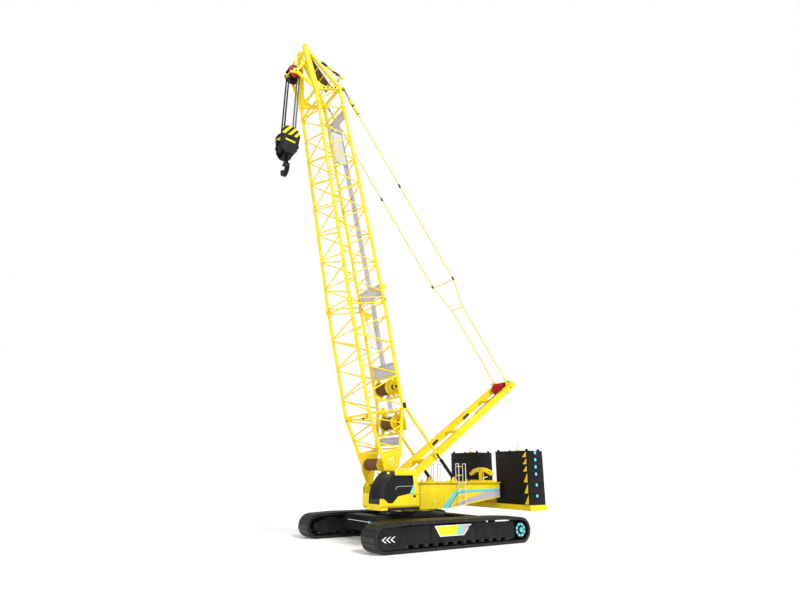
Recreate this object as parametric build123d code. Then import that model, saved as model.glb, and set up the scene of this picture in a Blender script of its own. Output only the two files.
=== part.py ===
from build123d import *
from math import acos, asin, atan2, cos, hypot, pi, radians, sin, sqrt
import os

# Crawler crane with a lattice boom, a mast, pendant bars and two counterweight stacks.
# Lengths are in millimetres. The origin is on the ground at the slewing axis, +X points to the
# boom, +Y to the cab side and +Z up. Each piece is written to its own file in parts/.

# Clearances
SEAT = 0.3
RUN = 8
PIN_FIT = 0.3

# Tracks
TRACK_LENGTH = 10000
TRACK_GAUGE = 7020
SHOE_WIDTH = 1200
SHOE_COUNT = 78
SHOE_GAP = 34
SHOE_DEPTH = 45
BELT_THICKNESS = 150
END_RADIUS = 640
TRACK_TOP = 1345
CARRIER_SPAN = 6000
CARRIER_BEND = 500

# Track frames
BEAM_INNER = 400
BEAM_OUTER = 530
BEAM_TOP = 1010
BEAM_BOTTOM = 445
SKIRT_BOTTOM = 240
SKIRT_PLATE = 90
SKIRT_NOTCH = 340
COVER_PLATE = 40
COVER_TOP = 1120
FORK_GAP = 280
WHEEL_WIDTH = 460
WHEEL_CLEARANCE = 12
AXLE_RADIUS = 90
HUB_RADIUS = 380
SPROCKET_TEETH = 15
ROLLER_COUNT = 12
ROLLER_INSET = 1115
ROLLER_RADIUS = 140
CARRIER_RADIUS = 90
CARRIER_WIDTH = 300

# Carbody
CARBODY_TOP = 1330
CARBODY_BOTTOM = 520
CARBODY_HALF = 1500
CROSS_BEAM_X = 2350
CROSS_BEAM_WIDTH = 900
RING_RADIUS = 1250
RING_BORE = 950
HUB_DEPTH = 80

# Upper frame
FRAME_HALF = 1300
FRAME_PLATE = 30
FRAME_FRONT = 2480
FRAME_REAR = 5600
FRAME_BOTTOM = 1640
FRAME_TOP = 3020
FRAME_KNEE = 1680
FRAME_TAIL_BOTTOM = 2160
DECK_FRONT = 1420
DECK_OVERHANG = 120
TAIL_HALF = 700
TAIL_LENGTH = 1350

# Boom, set out from its foot pins: s runs up the boom and n to its front
BOOM_LEAN = 13.05
FOOT_X = 2120
FOOT_Z = 2830
FOOT_Y = 1180
FOOT_LUG = 110
FOOT_PIN_RADIUS = 80
CHORD_RADIUS = 95
COLLAR_RADIUS = 122
LACE_RADIUS = 38
LACE_STEP = 60
KINK_S = 3970
JOINT_S = 10150
HEAD_S = 22700
FRONT_N = 790
BACK_N = -1490
BOOM_HALF = 1316
HEAD_FRONT_N = 555
HEAD_BACK_N = -1205
HEAD_HALF = 1098
HEAD_TUBE = 110
HEAD_KNEE = 900
HEAD_BEAM_WIDTH = 180
HEAD_BEAM_DEPTH = 330
HEAD_STRUT_DEPTH = 190
LEG_S = 1500
LEG_FRONT_N = 310
LEG_BACK_N = -800
LEG_HALF = 1190
TOP_BAY = 1780
BAY_LOSS = 60
FIRST_LEVEL_S = 11500
SHEAVE_S = 25050
SHEAVE_N = 1350
SHEAVE_RADIUS = 320
SHEAVE_PITCH = 90
SHEAVE_COUNT = 6
SHEAVE_WIDTH = 84
SHEAVE_PARTING = 140
SHEAVE_PIN_RADIUS = 70
TIP_S = 27000
TIP_N = 440
TIP_HALF = 390
TIP_BOSS = 130
TIP_BORE = 60
WALK_HALF = 230
WALK_DEPTH = 40

# Winches on the boom
DRUM_RADIUS = 330
DRUM_FLANGE = 450
DRUM_HALF = 620
DRUM_SHAFT = 90
WINCH_REACH = 600
WINCH_BEAM = 60
WINCH_PLATE = 40
FOOT_DRUM_RADIUS = 270
FOOT_DRUM_FLANGE = 380
FOOT_DRUM_HALF = 800
FOOT_DRUM_N = 120
FOOT_DRUM_S = 1150
LOWER_DRUM_N = -1400
LOWER_DRUM_S = 3140
UPPER_DRUM_N = -1450
UPPER_DRUM_S = 5120

# Mast and pendants
MAST_X = 600
MAST_Z = 3300
MAST_HALF = 790
MAST_LEG_WIDTH = 280
MAST_LEG_FOOT = 400
MAST_LEG_HEAD = 330
MAST_PIN_RADIUS = 70
PENDANT_PIN_S = 24000
PENDANT_PIN_N = -1450
PENDANT_TOP_HALF = 1070
PENDANT_END_HALF = 550
PENDANT_RADIUS = 34
PENDANT_PIN_RADIUS = 45
PENDANT_EYE_HALF = 35
MAST_TIP_X = -7430
MAST_TIP_Z = 9400

# Backstops
STOP_FOOT_X = -2130
STOP_FOOT_Z = 3220
STOP_HALF = 1120
STOP_EYE_S = 3970
STOP_EYE_N = -1720
STOP_TUBE_RADIUS = 75
STOP_ROD_RADIUS = 52
STOP_SLEEVE_RADIUS = 92
STOP_SLEEVE_START = 210
STOP_SLEEVE_END = 1350
STOP_EYE_RADIUS = 90
STOP_EYE_HALF = 40
STOP_PIN_RADIUS = 50

# Counterweights
STACK_FRONT = 5790
STACK_DEPTH = 1350
STACK_INNER = 835
STACK_WIDTH = 2645
TRAY_BOTTOM = 1500
TRAY_EDGE = 35
TRAY_TOP = 1800
SLAB_HEIGHTS = (600, 600, 600, 402, 402, 402)

# Cab
CAB_REAR = 1450
CAB_FRONT = 3850
CAB_INNER = 1600
CAB_OUTER = 2750
CAB_FLOOR = 1890
CAB_ROOF = 3640
CAB_WALL = 50
CAB_EDGE = 70
CAB_RAKE = 200
NOSE_RADIUS = 1540
NOSE_Z = 2225
SILL_Z = 2030
PILLAR = 115
GLASS_INSET = 15
GLASS = 15
HINGE_RADIUS = 18
HINGE_PIN_RADIUS = 9
HINGE_LENGTH = 60

# Hook block
BLOCK_DROP = 4800
BLOCK_HALF = 480
SHANK_RADIUS = 95
SHANK_TOP = -960
ROPE_RADIUS = 18


def box_bar(start, end, across, deep, grow=0):
    """A square-edged bar between two points: across is its size along Y, deep its size the other way."""
    start, end = Vector(*start), Vector(*end)
    along = (end - start).normalized()
    side = (Vector(0, 1, 0) - along * along.Y).normalized()
    corner = start - side * (across / 2 + grow) - along.cross(side) * (deep / 2 + grow)
    return Solid.make_box(across + 2 * grow, deep + 2 * grow, (end - start).length,
                          Plane(origin=corner, x_dir=side, z_dir=along))


def put(name, *solids):
    """Write the solids of one piece to its own file."""
    found = [solid for shape in solids for solid in shape.solids()]
    shape = found[0] if len(found) == 1 else Compound(found)
    shape.label = name
    export_step(shape, f"parts/{name}.step")


def fuse(shapes):
    """Join shapes into one."""
    first, *rest = shapes
    return first.fuse(*rest) if rest else first


def mirror_y(shape):
    """The same shape on the other side of the crane."""
    return shape.mirror(Plane.XZ)


def tube(start, end, radius):
    """A round bar between two points."""
    start, end = Vector(*start), Vector(*end)
    run = end - start
    return Solid.make_cylinder(radius, run.length, Plane(origin=start, z_dir=run.normalized()))


def pipe(points, radius):
    """A bent bar through the points, with a ball at each bend."""
    pieces = [tube(a, b, radius) for a, b in zip(points, points[1:])]
    pieces += [Solid.make_sphere(radius, Plane(origin=p), -90, 90, 360) for p in points[1:-1]]
    return fuse(pieces)


def block(x, y, z):
    """A box from its low and high ends along X, Y and Z."""
    return Solid.make_box(x[1] - x[0], y[1] - y[0], z[1] - z[0], Plane(origin=(x[0], y[0], z[0])))


def side_face(face, y_low, y_high):
    """Push a face drawn with X across and Z up through the crane from y_low to y_high."""
    plane = Plane(origin=(0, y_high, 0), x_dir=(1, 0, 0), z_dir=(0, -1, 0))
    return extrude(plane * face, y_high - y_low).solid()


def side_plate(points, y_low, y_high):
    """A plate with a straight-edged outline in X and Z."""
    return side_face(make_face(Polyline(*points, close=True)), y_low, y_high)


def bar_y(x, z, radius, y_low, y_high):
    """A round bar across the crane."""
    return tube((x, y_low, z), (x, y_high, z), radius)


def hull(circles):
    """The face inside a belt drawn round circles, each (x, z, radius), anticlockwise."""
    count = len(circles)
    normals = []
    for i, (x0, z0, r0) in enumerate(circles):
        x1, z1, r1 = circles[(i + 1) % count]
        normals.append(atan2(z1 - z0, x1 - x0) - acos((r0 - r1) / hypot(x1 - x0, z1 - z0)))
    edges = []
    for i, (x0, z0, r0) in enumerate(circles):
        x1, z1, r1 = circles[(i + 1) % count]
        out = normals[i]
        turn = (normals[(i + 1) % count] - out) % (2 * pi)
        start = (x0 + r0 * cos(out), z0 + r0 * sin(out))
        touch = (x1 + r1 * cos(out), z1 + r1 * sin(out))
        middle = (x1 + r1 * cos(out + turn / 2), z1 + r1 * sin(out + turn / 2))
        end = (x1 + r1 * cos(out + turn), z1 + r1 * sin(out + turn))
        edges.append(Line(start, touch))
        edges.append(ThreePointArc(touch, middle, end))
    return make_face(edges)


def belt_circles(depth):
    """The circles of the track loop, set in from its outer face by depth."""
    wheel_x = TRACK_LENGTH / 2 - END_RADIUS
    bend_z = TRACK_TOP - CARRIER_BEND
    return [
        (-wheel_x, END_RADIUS, END_RADIUS - depth),
        (wheel_x, END_RADIUS, END_RADIUS - depth),
        (CARRIER_SPAN / 2, bend_z, CARRIER_BEND - depth),
        (-CARRIER_SPAN / 2, bend_z, CARRIER_BEND - depth),
    ]


def track_outline():
    """Corners of the loop's outer face, two on each shoe's plate and two in the gap after it."""
    circles = belt_circles(0)
    wire = hull(circles).face().outer_wire()
    pitch = wire.length / SHOE_COUNT
    corners = []
    middle = Vector(0, TRACK_TOP / 2)
    for index in range(SHOE_COUNT):
        for along, depth in ((0, SHOE_DEPTH), (0, 0), (pitch - SHOE_GAP, 0), (pitch - SHOE_GAP, SHOE_DEPTH)):
            here = wire.position_at(index * pitch + along, position_mode=PositionMode.LENGTH)
            heading = wire.tangent_at(index * pitch + along, position_mode=PositionMode.LENGTH)
            inward = Vector(-heading.Y, heading.X)
            if inward.dot(middle - here) < 0:
                inward = inward * -1
            corners.append(here + inward * depth)
    return [(corner.X, corner.Y) for corner in corners]


# Tracks
WHEEL_X = TRACK_LENGTH / 2 - END_RADIUS
WHEEL_RADIUS = END_RADIUS - BELT_THICKNESS - WHEEL_CLEARANCE
LEFT_Y = TRACK_GAUGE / 2


def make_track():
    """One closed loop of shoes and links, centred on its own line."""
    outer = side_plate(track_outline(), -SHOE_WIDTH / 2, SHOE_WIDTH / 2)
    inner = side_face(hull(belt_circles(BELT_THICKNESS)), -SHOE_WIDTH, SHOE_WIDTH)
    return (outer - inner).solid()


def frame_profile():
    """Side view of a track frame's box beam, from the drive wheel's bracket to the front wheel's fork."""
    low_x, high_x = -WHEEL_X - 60, WHEEL_X + 120
    flat_x = -CARRIER_SPAN / 2 - 310
    return [
        (-WHEEL_X + 330, BEAM_BOTTOM), (-WHEEL_X + 330, SKIRT_BOTTOM), (WHEEL_X - 330, SKIRT_BOTTOM),
        (high_x, END_RADIUS - 180), (high_x + 60, END_RADIUS), (high_x, END_RADIUS + 180),
        (WHEEL_X - 700, BEAM_TOP), (flat_x, BEAM_TOP), ((flat_x + low_x - 180) / 2, BEAM_TOP - 90),
        (low_x - 180, END_RADIUS + 180), (low_x - 230, END_RADIUS), (low_x - 180, END_RADIUS - 180),
    ]


def make_track_frame():
    """Side frame of a track: box beam, cover plate, wheel fork, notched skirts and carrier brackets."""
    beam = side_plate(frame_profile(), -BEAM_INNER, BEAM_OUTER - COVER_PLATE)
    slot = WHEEL_X - WHEEL_RADIUS - 60
    nose, corner = WHEEL_RADIUS - 20, 150
    cover_face = hull([
        (-slot + corner, SKIRT_BOTTOM + corner, corner), (WHEEL_X, END_RADIUS, nose),
        (CARRIER_SPAN / 2, COVER_TOP - corner, corner), (-slot + corner, COVER_TOP - corner, corner),
    ])
    cover = side_face(cover_face, BEAM_OUTER - COVER_PLATE - 1, BEAM_OUTER)
    cuts = [
        block((slot, TRACK_LENGTH), (-FORK_GAP, FORK_GAP), (0, TRACK_TOP)),
        block((-TRACK_LENGTH, -slot), (-FORK_GAP, BEAM_OUTER + 1), (0, TRACK_TOP)),
        block((-slot - 1, slot + 1), (-FORK_GAP, BEAM_OUTER - SKIRT_PLATE), (0, BEAM_BOTTOM)),
        bar_y(WHEEL_X, END_RADIUS, AXLE_RADIUS + PIN_FIT, -BEAM_OUTER * 2, BEAM_OUTER * 2),
        bar_y(-WHEEL_X, END_RADIUS, AXLE_RADIUS + PIN_FIT, -BEAM_OUTER * 2, BEAM_OUTER * 2),
    ]
    places = roller_places()
    for x in places:
        cuts.append(bar_y(x, roller_z(), 45, -BEAM_INNER - 1, BEAM_OUTER + 1))
    for low, high in zip(places, places[1:]):
        half = (high - low) / 4
        middle = (low + high) / 2
        reach = (-BEAM_INNER - 1, BEAM_OUTER + 1)
        cuts.append(block((middle - half, middle + half), reach, (0, SKIRT_NOTCH)))
    frame = fuse([beam, cover]).cut(*cuts)
    brackets = []
    for x in (-CARRIER_SPAN / 2 + 300, 0, CARRIER_SPAN / 2 - 300):
        for y in (-CARRIER_WIDTH / 2 - 60, CARRIER_WIDTH / 2 + 20):
            brackets.append(block((x - 70, x + 70), (y, y + 40), (BEAM_TOP - 10, carrier_z() + 60)))
    return fuse([frame.solid(), *brackets])


def roller_places():
    """X of each bottom roller, evenly spread between the two wheels."""
    reach = WHEEL_X - ROLLER_INSET
    return [-reach + 2 * reach * i / (ROLLER_COUNT - 1) for i in range(ROLLER_COUNT)]


def roller_z():
    """Height of the bottom rollers, which run on the inside of the loop."""
    return BELT_THICKNESS + ROLLER_RADIUS + SEAT


def carrier_z():
    """Height of the carrier rollers, which hold up the top run."""
    return TRACK_TOP - BELT_THICKNESS - CARRIER_RADIUS - SEAT


def make_rollers():
    """Bottom rollers with two flanges each, on axles held by the skirts."""
    rollers = []
    for x in roller_places():
        body = bar_y(x, roller_z(), ROLLER_RADIUS - 30, -FORK_GAP + 20, BEAM_OUTER - SKIRT_PLATE - 20)
        rims = [bar_y(x, roller_z(), ROLLER_RADIUS, y, y + 90) for y in (-200, 130)]
        axle = bar_y(x, roller_z(), 45 - PIN_FIT, -BEAM_INNER + 20, BEAM_OUTER + 12)
        rollers.append(fuse([body, *rims, axle]))
    return rollers


def make_carriers():
    """Carrier rollers between their brackets on the frame."""
    half = CARRIER_WIDTH / 2 + 20 - SEAT
    places = (-CARRIER_SPAN / 2 + 300, 0, CARRIER_SPAN / 2 - 300)
    return [bar_y(x, carrier_z(), CARRIER_RADIUS, -half, half) for x in places]


def make_sprocket():
    """Drive wheel: two toothed rims, a drum and the hub cover on the outer side."""
    tooth = 2 * pi / SPROCKET_TEETH
    points = []
    for i in range(SPROCKET_TEETH):
        for share, radius in ((0.0, 0.9), (0.22, 1.0), (0.5, 1.0), (0.72, 0.9)):
            angle = (i + share) * tooth
            points.append((WHEEL_RADIUS * radius * cos(angle), WHEEL_RADIUS * radius * sin(angle)))
    half = WHEEL_WIDTH / 2
    rims = [side_plate(points, y, y + 70) for y in (-half, half - 70)]
    drum = bar_y(0, 0, HUB_RADIUS - 20, -half, half)
    cover = bar_y(0, 0, HUB_RADIUS, half - 20, BEAM_OUTER - 60)
    boss = bar_y(0, 0, 150, BEAM_OUTER - 80, BEAM_OUTER)
    shaft = bar_y(0, 0, AXLE_RADIUS, -BEAM_INNER, -half + 10)
    return fuse([*rims, drum, cover, boss, shaft]).moved(Location((-WHEEL_X, 0, END_RADIUS)))


def make_idler():
    """Front wheel with a rim, a thin web and an axle through the fork."""
    half = WHEEL_WIDTH / 2
    profile = Polyline(
        (-half, WHEEL_RADIUS), (half, WHEEL_RADIUS), (half, WHEEL_RADIUS - 90), (60, WHEEL_RADIUS - 130),
        (60, 170), (half, 150), (half, 0), (-half, 0), (-half, 150), (-60, 170),
        (-60, WHEEL_RADIUS - 130), (-half, WHEEL_RADIUS - 90), close=True,
    )
    plane = Plane(origin=(0, 0, 0), x_dir=(0, 1, 0), z_dir=(1, 0, 0))
    wheel = revolve(plane * make_face(profile), axis=Axis.Y).solid()
    axle = bar_y(0, 0, AXLE_RADIUS, -BEAM_INNER, BEAM_OUTER)
    return fuse([wheel, axle]).moved(Location((WHEEL_X, 0, END_RADIUS)))


def make_carbody():
    """Centre box of the lower works, with its deck plate under the slewing ring."""
    half = CARBODY_HALF
    corner = 450
    plan = Polyline(
        (-half, -half + corner), (-half + corner, -half), (half - corner, -half), (half, -half + corner),
        (half, half - corner), (half - corner, half), (-half + corner, half), (-half, half - corner),
        close=True,
    )
    body = extrude(Plane(origin=(0, 0, CARBODY_BOTTOM)) * make_face(plan), CARBODY_TOP - CARBODY_BOTTOM)
    return body.solid()


def make_cross_beam():
    """Box beam across the front of the carbody, deeper in the middle, between the track frames."""
    reach = LEFT_Y - BEAM_INNER - SEAT
    x_low = CROSS_BEAM_X - CROSS_BEAM_WIDTH / 2
    top, low = CARBODY_TOP - 30, CARBODY_BOTTOM
    points = [
        (-reach, low + 150), (-reach + 900, low), (reach - 900, low), (reach, low + 150),
        (reach, BEAM_TOP - 20), (reach - 700, top), (-reach + 700, top), (-reach, BEAM_TOP - 20),
    ]
    plane = Plane(origin=(x_low, 0, 0), x_dir=(0, 1, 0), z_dir=(1, 0, 0))
    beam = extrude(plane * make_face(Polyline(*points, close=True)), CROSS_BEAM_WIDTH).solid()
    link = block((CARBODY_HALF + SEAT, x_low + 1), (-900, 900), (low + 100, top - 60))
    return fuse([beam, link])


def make_ring():
    """Slewing ring between the carbody and the upper frame's hub."""
    low, high = CARBODY_TOP + SEAT, FRAME_BOTTOM - HUB_DEPTH - SEAT
    race = Solid.make_cylinder(RING_RADIUS, high - low, Plane(origin=(0, 0, low)))
    return race.cut(Solid.make_cylinder(RING_BORE, high - low + 2, Plane(origin=(0, 0, low - 1))))


# Upper frame
def make_upper_frame():
    """Box frame with a wide deck, open at the front between the boom's lugs."""
    outline = [
        (-FRAME_REAR, FRAME_TAIL_BOTTOM), (-FRAME_KNEE, FRAME_BOTTOM), (FRAME_FRONT - 120, FRAME_BOTTOM),
        (FRAME_FRONT, FRAME_BOTTOM + 120), (FRAME_FRONT, FOOT_Z - 120), (FOOT_X + 200, FOOT_Z + 170),
        (FOOT_X, FOOT_Z + 240), (FOOT_X - 220, FRAME_TOP), (-FRAME_REAR, FRAME_TOP),
    ]
    t = FRAME_PLATE
    pocket = [
        (-FRAME_REAR + t, FRAME_TAIL_BOTTOM + t), (-FRAME_KNEE, FRAME_BOTTOM + t),
        (FRAME_FRONT - t, FRAME_BOTTOM + t), (FRAME_FRONT - t, FOOT_Z - 420),
        (FRAME_FRONT + t, FOOT_Z - 420), (FRAME_FRONT + t, FRAME_TOP + 400), (DECK_FRONT, FRAME_TOP + 400),
        (DECK_FRONT, FRAME_TOP - t), (-FRAME_REAR + t, FRAME_TOP - t),
    ]
    body = side_plate(outline, -FRAME_HALF, FRAME_HALF)
    body = body.cut(side_plate(pocket, -FRAME_HALF + 35, FRAME_HALF - 35))
    deck = block((-FRAME_REAR, DECK_FRONT), (-FRAME_HALF - DECK_OVERHANG, FRAME_HALF + DECK_OVERHANG),
                 (FRAME_TOP - t, FRAME_TOP))
    tail = block((-FRAME_REAR - TAIL_LENGTH, -FRAME_REAR + 1), (-TAIL_HALF, TAIL_HALF),
                 (FRAME_TAIL_BOTTOM, FRAME_TOP))
    lug_low = FOOT_Y - FOOT_LUG / 2 - 20
    lugs = []
    for side in (-1, 1):
        y = sorted((side * (lug_low - 60), side * lug_low))
        outline = [(FOOT_X - 420, FRAME_BOTTOM + 5), (FRAME_FRONT - 5, FRAME_BOTTOM + 5),
                   (FRAME_FRONT - 5, FOOT_Z - 420), (FOOT_X + 190, FOOT_Z), (FOOT_X + 110, FOOT_Z + 160),
                   (FOOT_X - 110, FOOT_Z + 160), (FOOT_X - 190, FOOT_Z)]
        lugs.append(side_plate(outline, *y))
    hub = Solid.make_cylinder(RING_RADIUS, HUB_DEPTH + 60, Plane(origin=(0, 0, FRAME_BOTTOM - HUB_DEPTH)))
    frame = fuse([body.solid(), deck, tail, hub, *lugs, *mast_feet(), *stop_feet()])
    bores = [bar_y(FOOT_X, FOOT_Z, FOOT_PIN_RADIUS + PIN_FIT, -2000, 2000)]
    return frame.cut(*bores).solid()


def make_foot_pins():
    """Pins of the boom's foot, the mast's feet and the backstops' feet."""
    pins = [
        bar_y(FOOT_X, FOOT_Z, FOOT_PIN_RADIUS, FOOT_Y - FOOT_LUG / 2 - 105, FRAME_HALF + 25),
        bar_y(MAST_X, MAST_Z, MAST_PIN_RADIUS, MAST_HALF - MAST_LEG_WIDTH / 2 - RUN - 75,
              MAST_HALF + MAST_LEG_WIDTH / 2 + RUN + 75),
        bar_y(STOP_FOOT_X, STOP_FOOT_Z, STOP_PIN_RADIUS, STOP_HALF - 115, STOP_HALF + 115),
    ]
    return pins + [mirror_y(pin) for pin in pins]


# Boom
LEAN = radians(BOOM_LEAN)
BOOM_FRAME = Location(Plane(origin=(FOOT_X, 0, FOOT_Z), x_dir=(cos(LEAN), 0, -sin(LEAN)),
                            z_dir=(sin(LEAN), 0, cos(LEAN))))

# Boom sections: s, n of the front chords, n of the back chords, half width
STATIONS = [
    (LEG_S, LEG_FRONT_N, LEG_BACK_N, LEG_HALF),
    (KINK_S, FRONT_N - 40, BACK_N + 20, BOOM_HALF),
    (JOINT_S, FRONT_N, BACK_N, BOOM_HALF),
    (HEAD_S, HEAD_FRONT_N, HEAD_BACK_N, HEAD_HALF),
]


def chord_point(s, front, side):
    """Point on the centre line of a chord, in the boom's own frame (n, y, s)."""
    for low, high in zip(STATIONS, STATIONS[1:]):
        if s <= high[0] or high is STATIONS[-1]:
            share = (s - low[0]) / (high[0] - low[0])
            column = 1 if front else 2
            n = low[column] + (high[column] - low[column]) * share
            return (n, side * (low[3] + (high[3] - low[3]) * share), s)


def lace(levels_a, levels_b, chord_a, chord_b):
    """Zigzag bars between two chords that meet them at their own levels."""
    stops = sorted([(s, 0) for s in levels_a] + [(s, 1) for s in levels_b])
    bars = []
    for (low, at), (high, to) in zip(stops, stops[1:]):
        if at == to:
            continue
        first = chord_point(low + LACE_STEP, *(chord_a, chord_b)[at])
        second = chord_point(high - LACE_STEP, *(chord_a, chord_b)[to])
        bars.append(tube(first, second, LACE_RADIUS))
    return bars


def side_laces(levels_a, levels_b, side):
    """Laces on one side of the boom, with levels_a on its front chord and levels_b on the back one."""
    return lace(levels_a, levels_b, (1, side), (0, side))


def across(bars, cutters):
    """Bars that cross from one side of the boom to the other, cut back to a seat from the chords."""
    cutters = [cutter.moved(BOOM_FRAME) for cutter in cutters]
    return [bar.moved(BOOM_FRAME).cut(*cutters).solid() for bar in bars]


def cross_bar(s, front, radius=LACE_RADIUS):
    """One bar from side to side at a level, on the front or the back chords."""
    return tube(chord_point(s, front, -1), chord_point(s, front, 1), radius)


def side_bar(s, side):
    """One bar from the front to the back chord at a level."""
    return tube(chord_point(s, 1, side), chord_point(s, 0, side), LACE_RADIUS)


def on_boom(pieces, cuts):
    """Move pieces from the boom's own frame to the crane's and join them, then take away the cuts."""
    whole = fuse([piece.moved(BOOM_FRAME) for piece in pieces])
    return whole.cut(*[cut.moved(BOOM_FRAME) for cut in cuts]) if cuts else whole


def joint_trim(s_low, s_high):
    """A wide block that squares off the chords between two levels."""
    return block((-2 * BOOM_HALF, 2 * BOOM_HALF), (-2 * BOOM_HALF, 2 * BOOM_HALF), (s_low, s_high))


def top_levels():
    """Levels of the laces in the top section: on the front chords, and half way between them."""
    whole = [FIRST_LEVEL_S]
    bay = TOP_BAY
    while whole[-1] + bay < HEAD_S:
        whole.append(whole[-1] + bay)
        bay -= BAY_LOSS
    half = [FIRST_LEVEL_S - TOP_BAY / 2] + [(a + b) / 2 for a, b in zip(whole, whole[1:])]
    return whole, half


def top_chord(front, side, grow=0):
    """A chord of the top section, with a collar at each joint."""
    low, high = JOINT_S - 20, HEAD_S + 20
    runs = ((low, high, CHORD_RADIUS), (low, JOINT_S + 90, COLLAR_RADIUS), (HEAD_S - 90, high, COLLAR_RADIUS))
    return [tube(chord_point(a, front, side), chord_point(b, front, side), r + grow) for a, b, r in runs]


def make_top_section():
    """Both side trusses of the tapering section between the boom's two joints."""
    whole, half = top_levels()
    trims = [joint_trim(JOINT_S - 200, JOINT_S + SEAT / 2), joint_trim(HEAD_S - SEAT / 2, HEAD_S + 200)]
    trusses = []
    for side in (1, -1):
        pieces = top_chord(1, side) + top_chord(0, side) + side_laces(whole, half, side)
        pieces += [side_bar(JOINT_S + 160, side), side_bar(HEAD_S - 160, side)]
        trusses.append(on_boom(pieces, trims))
    return trusses


FOOT_LEVELS = [KINK_S + 960, KINK_S + 2700, KINK_S + 4450]
FOOT_HALF_LEVELS = [KINK_S + 60, KINK_S + 1830, KINK_S + 3580, KINK_S + 5300]


def foot_chord(front, side, grow=0):
    """A chord of the foot section, bent at the kink, with a collar at the joint."""
    stops = [chord_point(s, front, side) for s in (LEG_S - 150, KINK_S, JOINT_S + 20)]
    collar = tube(chord_point(JOINT_S - 90, front, side), stops[-1], COLLAR_RADIUS + grow)
    return [pipe(stops, CHORD_RADIUS + grow), collar]


def foot_plate(side):
    """Plate that gathers one side's two chords at the foot pin, with the bore of the foot drum's shaft."""
    drum_n = FOOT_DRUM_N + DRUM_SHAFT + 110
    outline = [
        (-170, -60), (-60, -170), (60, -170), (170, -60), (190, 200), (drum_n, FOOT_DRUM_S - 250),
        (drum_n, FOOT_DRUM_S + 150), (LEG_FRONT_N + 30, LEG_S), (LEG_FRONT_N + 30, LEG_S + 250),
        (LEG_BACK_N - 60, LEG_S + 250), (LEG_BACK_N - 30, LEG_S), (-330, 300),
    ]
    bores = [bar_y(0, 0, FOOT_PIN_RADIUS + PIN_FIT, -2 * FOOT_Y, 2 * FOOT_Y),
             bar_y(FOOT_DRUM_N, FOOT_DRUM_S, DRUM_SHAFT + PIN_FIT, -2 * FOOT_Y, 2 * FOOT_Y)]
    y_low, y_high = sorted((side * (FOOT_Y - FOOT_LUG / 2), side * (FOOT_Y + FOOT_LUG / 2)))
    return side_plate(outline, y_low, y_high).cut(*bores).solid()


def make_foot_section():
    """Both side trusses of the lower section, with their legs drawn in to the foot plates."""
    trusses = []
    for side in (1, -1):
        pieces = foot_chord(1, side) + foot_chord(0, side) + side_laces(FOOT_LEVELS, FOOT_HALF_LEVELS, side)
        pieces += side_laces([KINK_S - 200, LEG_S + 900], [LEG_S + 1550, LEG_S + 250], side)
        pieces += [side_bar(s, side) for s in (LEG_S + 300, KINK_S - 70, JOINT_S - 160)]
        pieces.append(foot_plate(side))
        trusses.append(on_boom(pieces, [joint_trim(JOINT_S - SEAT / 2, JOINT_S + 200)]))
    return trusses


def make_cross_members():
    """Laces and bars that join the two sides of the boom and of its head."""
    sides = (1, -1)
    whole, half = top_levels()
    found = []
    for front in (1, 0):
        chords = [piece for side in sides for piece in top_chord(front, side, SEAT)]
        bars = lace(whole, half, (front, -1), (front, 1)) if front else lace(half, whole, (0, 1), (0, -1))
        found += across(bars + [cross_bar(JOINT_S + 160, front), cross_bar(HEAD_S - 160, front)], chords)
    for front in (1, 0):
        chords = [piece for side in sides for piece in foot_chord(front, side, SEAT)]
        skip = 0 if front else 1
        bars = lace(FOOT_LEVELS[skip:], FOOT_HALF_LEVELS[skip:], (front, -1), (front, 1))
        bars += [cross_bar(LEG_S + 300, front), cross_bar(JOINT_S - 160, front)]
        if front:
            bars.append(cross_bar(KINK_S - 70, 1))
            bars += lace([LEG_S + 500, KINK_S - 500], [LEG_S + 1200, KINK_S - 100], (1, 1), (1, -1))
        found += across(bars, chords)
    frames = [piece for side in sides for piece in head_side(side, SEAT)]
    bars = [cross_bar(HEAD_S + HEAD_KNEE, 1, 80), cross_bar(PENDANT_PIN_S, 0, 100),
            cross_bar(HEAD_S + 160, 1, 60), cross_bar(HEAD_S + 160, 0, 60),
            tube((TIP_N, -TIP_HALF, TIP_S - 200), (TIP_N, TIP_HALF, TIP_S - 200), 80)]
    return found + across(bars, frames)


def make_winch_frames():
    """Frames of the two upper winches, between the back chords, one with the backstops' lugs."""
    chords = [piece for side in (1, -1) for piece in foot_chord(0, side, SEAT)]
    lug_bore = bar_y(STOP_EYE_N, STOP_EYE_S, STOP_PIN_RADIUS, -2 * BOOM_HALF, 2 * BOOM_HALF)
    lower = on_boom(winch_frame(LOWER_DRUM_N, LOWER_DRUM_S) + stop_lugs(), [*chords, lug_bore])
    upper = on_boom(winch_frame(UPPER_DRUM_N, UPPER_DRUM_S), chords)
    return [lower.solid(), upper.solid()]


def winch_frame(n, s):
    """Two beams across the back chords and the two plates that carry a drum between them."""
    low, high = chord_point(s - WINCH_REACH, 0, 1), chord_point(s + WINCH_REACH, 0, 1)
    pieces = [tube((p[0], -p[1], p[2]), p, WINCH_BEAM) for p in (low, high)]
    outline = [
        (low[0] - 45, low[2]), (low[0] + 45, low[2]), (n + 280, s - 170), (n + 280, s + 170),
        (high[0] + 45, high[2]), (high[0] - 45, high[2]), (n - 200, s + 150), (n - 200, s - 150),
    ]
    bore = bar_y(n, s, DRUM_SHAFT + PIN_FIT, -2 * DRUM_HALF, 2 * DRUM_HALF)
    for side in (-1, 1):
        y_low, y_high = sorted((side * (DRUM_HALF + 30), side * (DRUM_HALF + 30 + WINCH_PLATE)))
        pieces.append(side_plate(outline, y_low, y_high).cut(bore).solid())
    return pieces


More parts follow.
